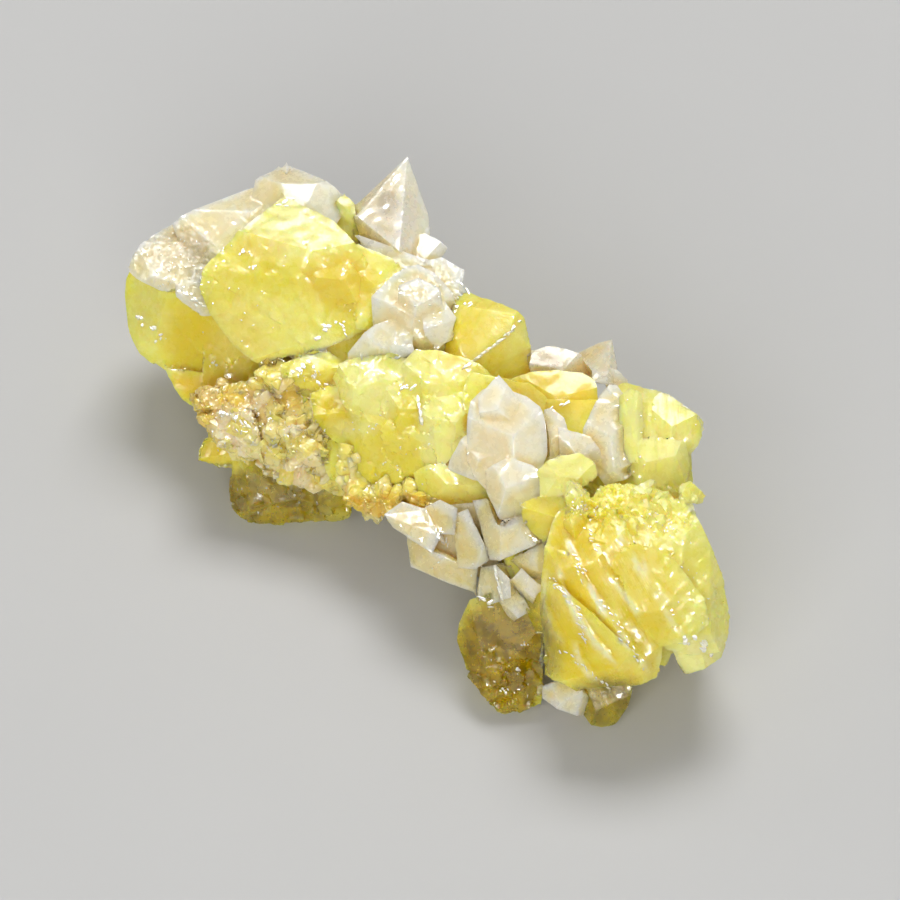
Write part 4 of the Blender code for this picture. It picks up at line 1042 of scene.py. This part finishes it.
def build_glint_flakes():
    """Whitish cleavage plates on the ridges and in the crevices, turned so that they catch the key light;
    their near-white colour is a painted glint on top of that real reflection.
    """
    rng = np.random.default_rng(9)
    bpy.context.view_layer.update()
    graph = bpy.context.evaluated_depsgraph_get()
    toward_key = np.array(KEY_PLACE) / np.linalg.norm(KEY_PLACE)
    half = OUT + toward_key
    half /= np.linalg.norm(half)
    points, faces = [], []
    for across, down, length, width, turn in all_flakes(rng):
        base = np.array(SHEET_PLACE) + RIGHT * (across - SHEET_MID) * UNIT - UP * (down - SHEET_MID) * UNIT
        hit, spot, normal, _, _, _ = bpy.context.scene.ray_cast(
            graph, Vector((base + OUT * ABOVE) * MM), Vector(-OUT))
        if not hit:
            continue
        facing = np.array(normal) * (1 - FLAKE_LEAN) + half * FLAKE_LEAN
        facing /= np.linalg.norm(facing)
        radians = math.radians(turn)
        along = RIGHT * math.cos(radians) - UP * math.sin(radians)
        add_flake(points, faces, rng, np.array(spot) / MM, facing, along, length * UNIT, width * UNIT)
    mesh = bpy.data.meshes.new("flakes")
    mesh.from_pydata(np.array(points) * MM, [], faces)
    set_points(mesh, np.array(points))
    obj = bpy.data.objects.new("flakes", mesh)
    bpy.context.scene.collection.objects.link(obj)
    dress(obj, glint_flake_material(), "sulfur")


# ---------------------------------------------------------------- stage

FLOOR_HALF = 0.6                   # half the floor's side, in metres
AIM = (0, 0, 6)                    # what the key and the fill look at
KEY_PLACE, KEY_SIZE, KEY_POWER = (-90, 150, 330), (190, 150), 0.85
FILL_PLACE, FILL_SIZE, FILL_POWER = (120, -230, 170), (240, 240), 0.58
GLINTS = [
    (-170, 60, 190), (150, 130, 200), (40, 200, 190), (-60, -60, 260), (190, -60, 190), (-120, -160, 180)]
GLINT_AIM, GLINT_SIZE, GLINT_POWER = (0, 0, 8), (24, 24), 0.16
WORLD_COLOUR, WORLD_STRENGTH = (1.0, 0.98, 0.95, 1), 0.22
FRAME_WIDTH = 58.5                 # how wide the picture is at the sheet's middle, in mm
LENS, SENSOR = 500.0, 36.0         # in mm; a long lens, as the photo shows hardly any perspective


def area_light(name, place_mm, target_mm, size_mm, power):
    light = bpy.data.lights.new(name, "AREA")
    light.shape = "RECTANGLE"
    light.size, light.size_y = (side * MM for side in size_mm)
    light.energy = power
    obj = bpy.data.objects.new(name, light)
    bpy.context.scene.collection.objects.link(obj)
    place, target = Vector(place_mm) * MM, Vector(target_mm) * MM
    obj.location = place
    obj.rotation_euler = (target - place).to_track_quat("-Z", "Y").to_euler()
    return obj


def add_floor():
    half = FLOOR_HALF
    mesh = bpy.data.meshes.new("floor")
    corners = [(-half, -half, 0), (half, -half, 0), (half, half, 0), (-half, half, 0)]
    mesh.from_pydata(corners, [], [(0, 1, 2, 3)])
    obj = bpy.data.objects.new("floor", mesh)
    bpy.context.scene.collection.objects.link(obj)
    s = Shader("floor")
    s.link(s.mix(s.noise(30, 3), (0.54, 0.54, 0.535), (0.57, 0.57, 0.565)), s.main.inputs["Base Color"])
    s.set(Roughness=0.8)
    mesh.materials.append(s.material)


def add_light():
    world = bpy.data.worlds.new("studio")
    bpy.context.scene.world = world
    world.use_nodes = True
    background = world.node_tree.nodes["Background"]
    background.inputs["Color"].default_value = WORLD_COLOUR
    background.inputs["Strength"].default_value = WORLD_STRENGTH
    area_light("key", KEY_PLACE, AIM, KEY_SIZE, KEY_POWER)
    fill = area_light("fill", FILL_PLACE, AIM, FILL_SIZE, FILL_POWER)
    fill.visible_glossy = False
    for index, place in enumerate(GLINTS):
        glint = area_light("glint_%d" % index, place, GLINT_AIM, GLINT_SIZE, GLINT_POWER)
        glint.visible_diffuse = False
    view = bpy.context.scene.view_settings
    view.view_transform = "Standard"
    view.look = "None"
    view.exposure = 0.0


def add_camera():
    camera = bpy.data.cameras.new("camera")
    camera.lens = LENS
    camera.sensor_width = SENSOR
    camera.clip_start, camera.clip_end = 0.05, 10
    obj = bpy.data.objects.new("camera", camera)
    bpy.context.scene.collection.objects.link(obj)
    turn, tilt = math.radians(SHEET_TURN), math.radians(SHEET_TILT)
    back = Vector((math.sin(turn) * math.cos(tilt), -math.cos(turn) * math.cos(tilt), math.sin(tilt)))
    target = Vector(SHEET_PLACE) * MM
    obj.location = target + back * (FRAME_WIDTH * LENS / SENSOR * MM)
    obj.rotation_euler = back.to_track_quat("Z", "Y").to_euler()
    bpy.context.scene.camera = obj


# ---------------------------------------------------------------- main

sulfur_tree = tree_of("sulfur_crystals")
build_sulfur()
build_calcites(sulfur_tree)
build_crust(sulfur_tree)
build_glint_flakes()
add_floor()
add_light()
add_camera()
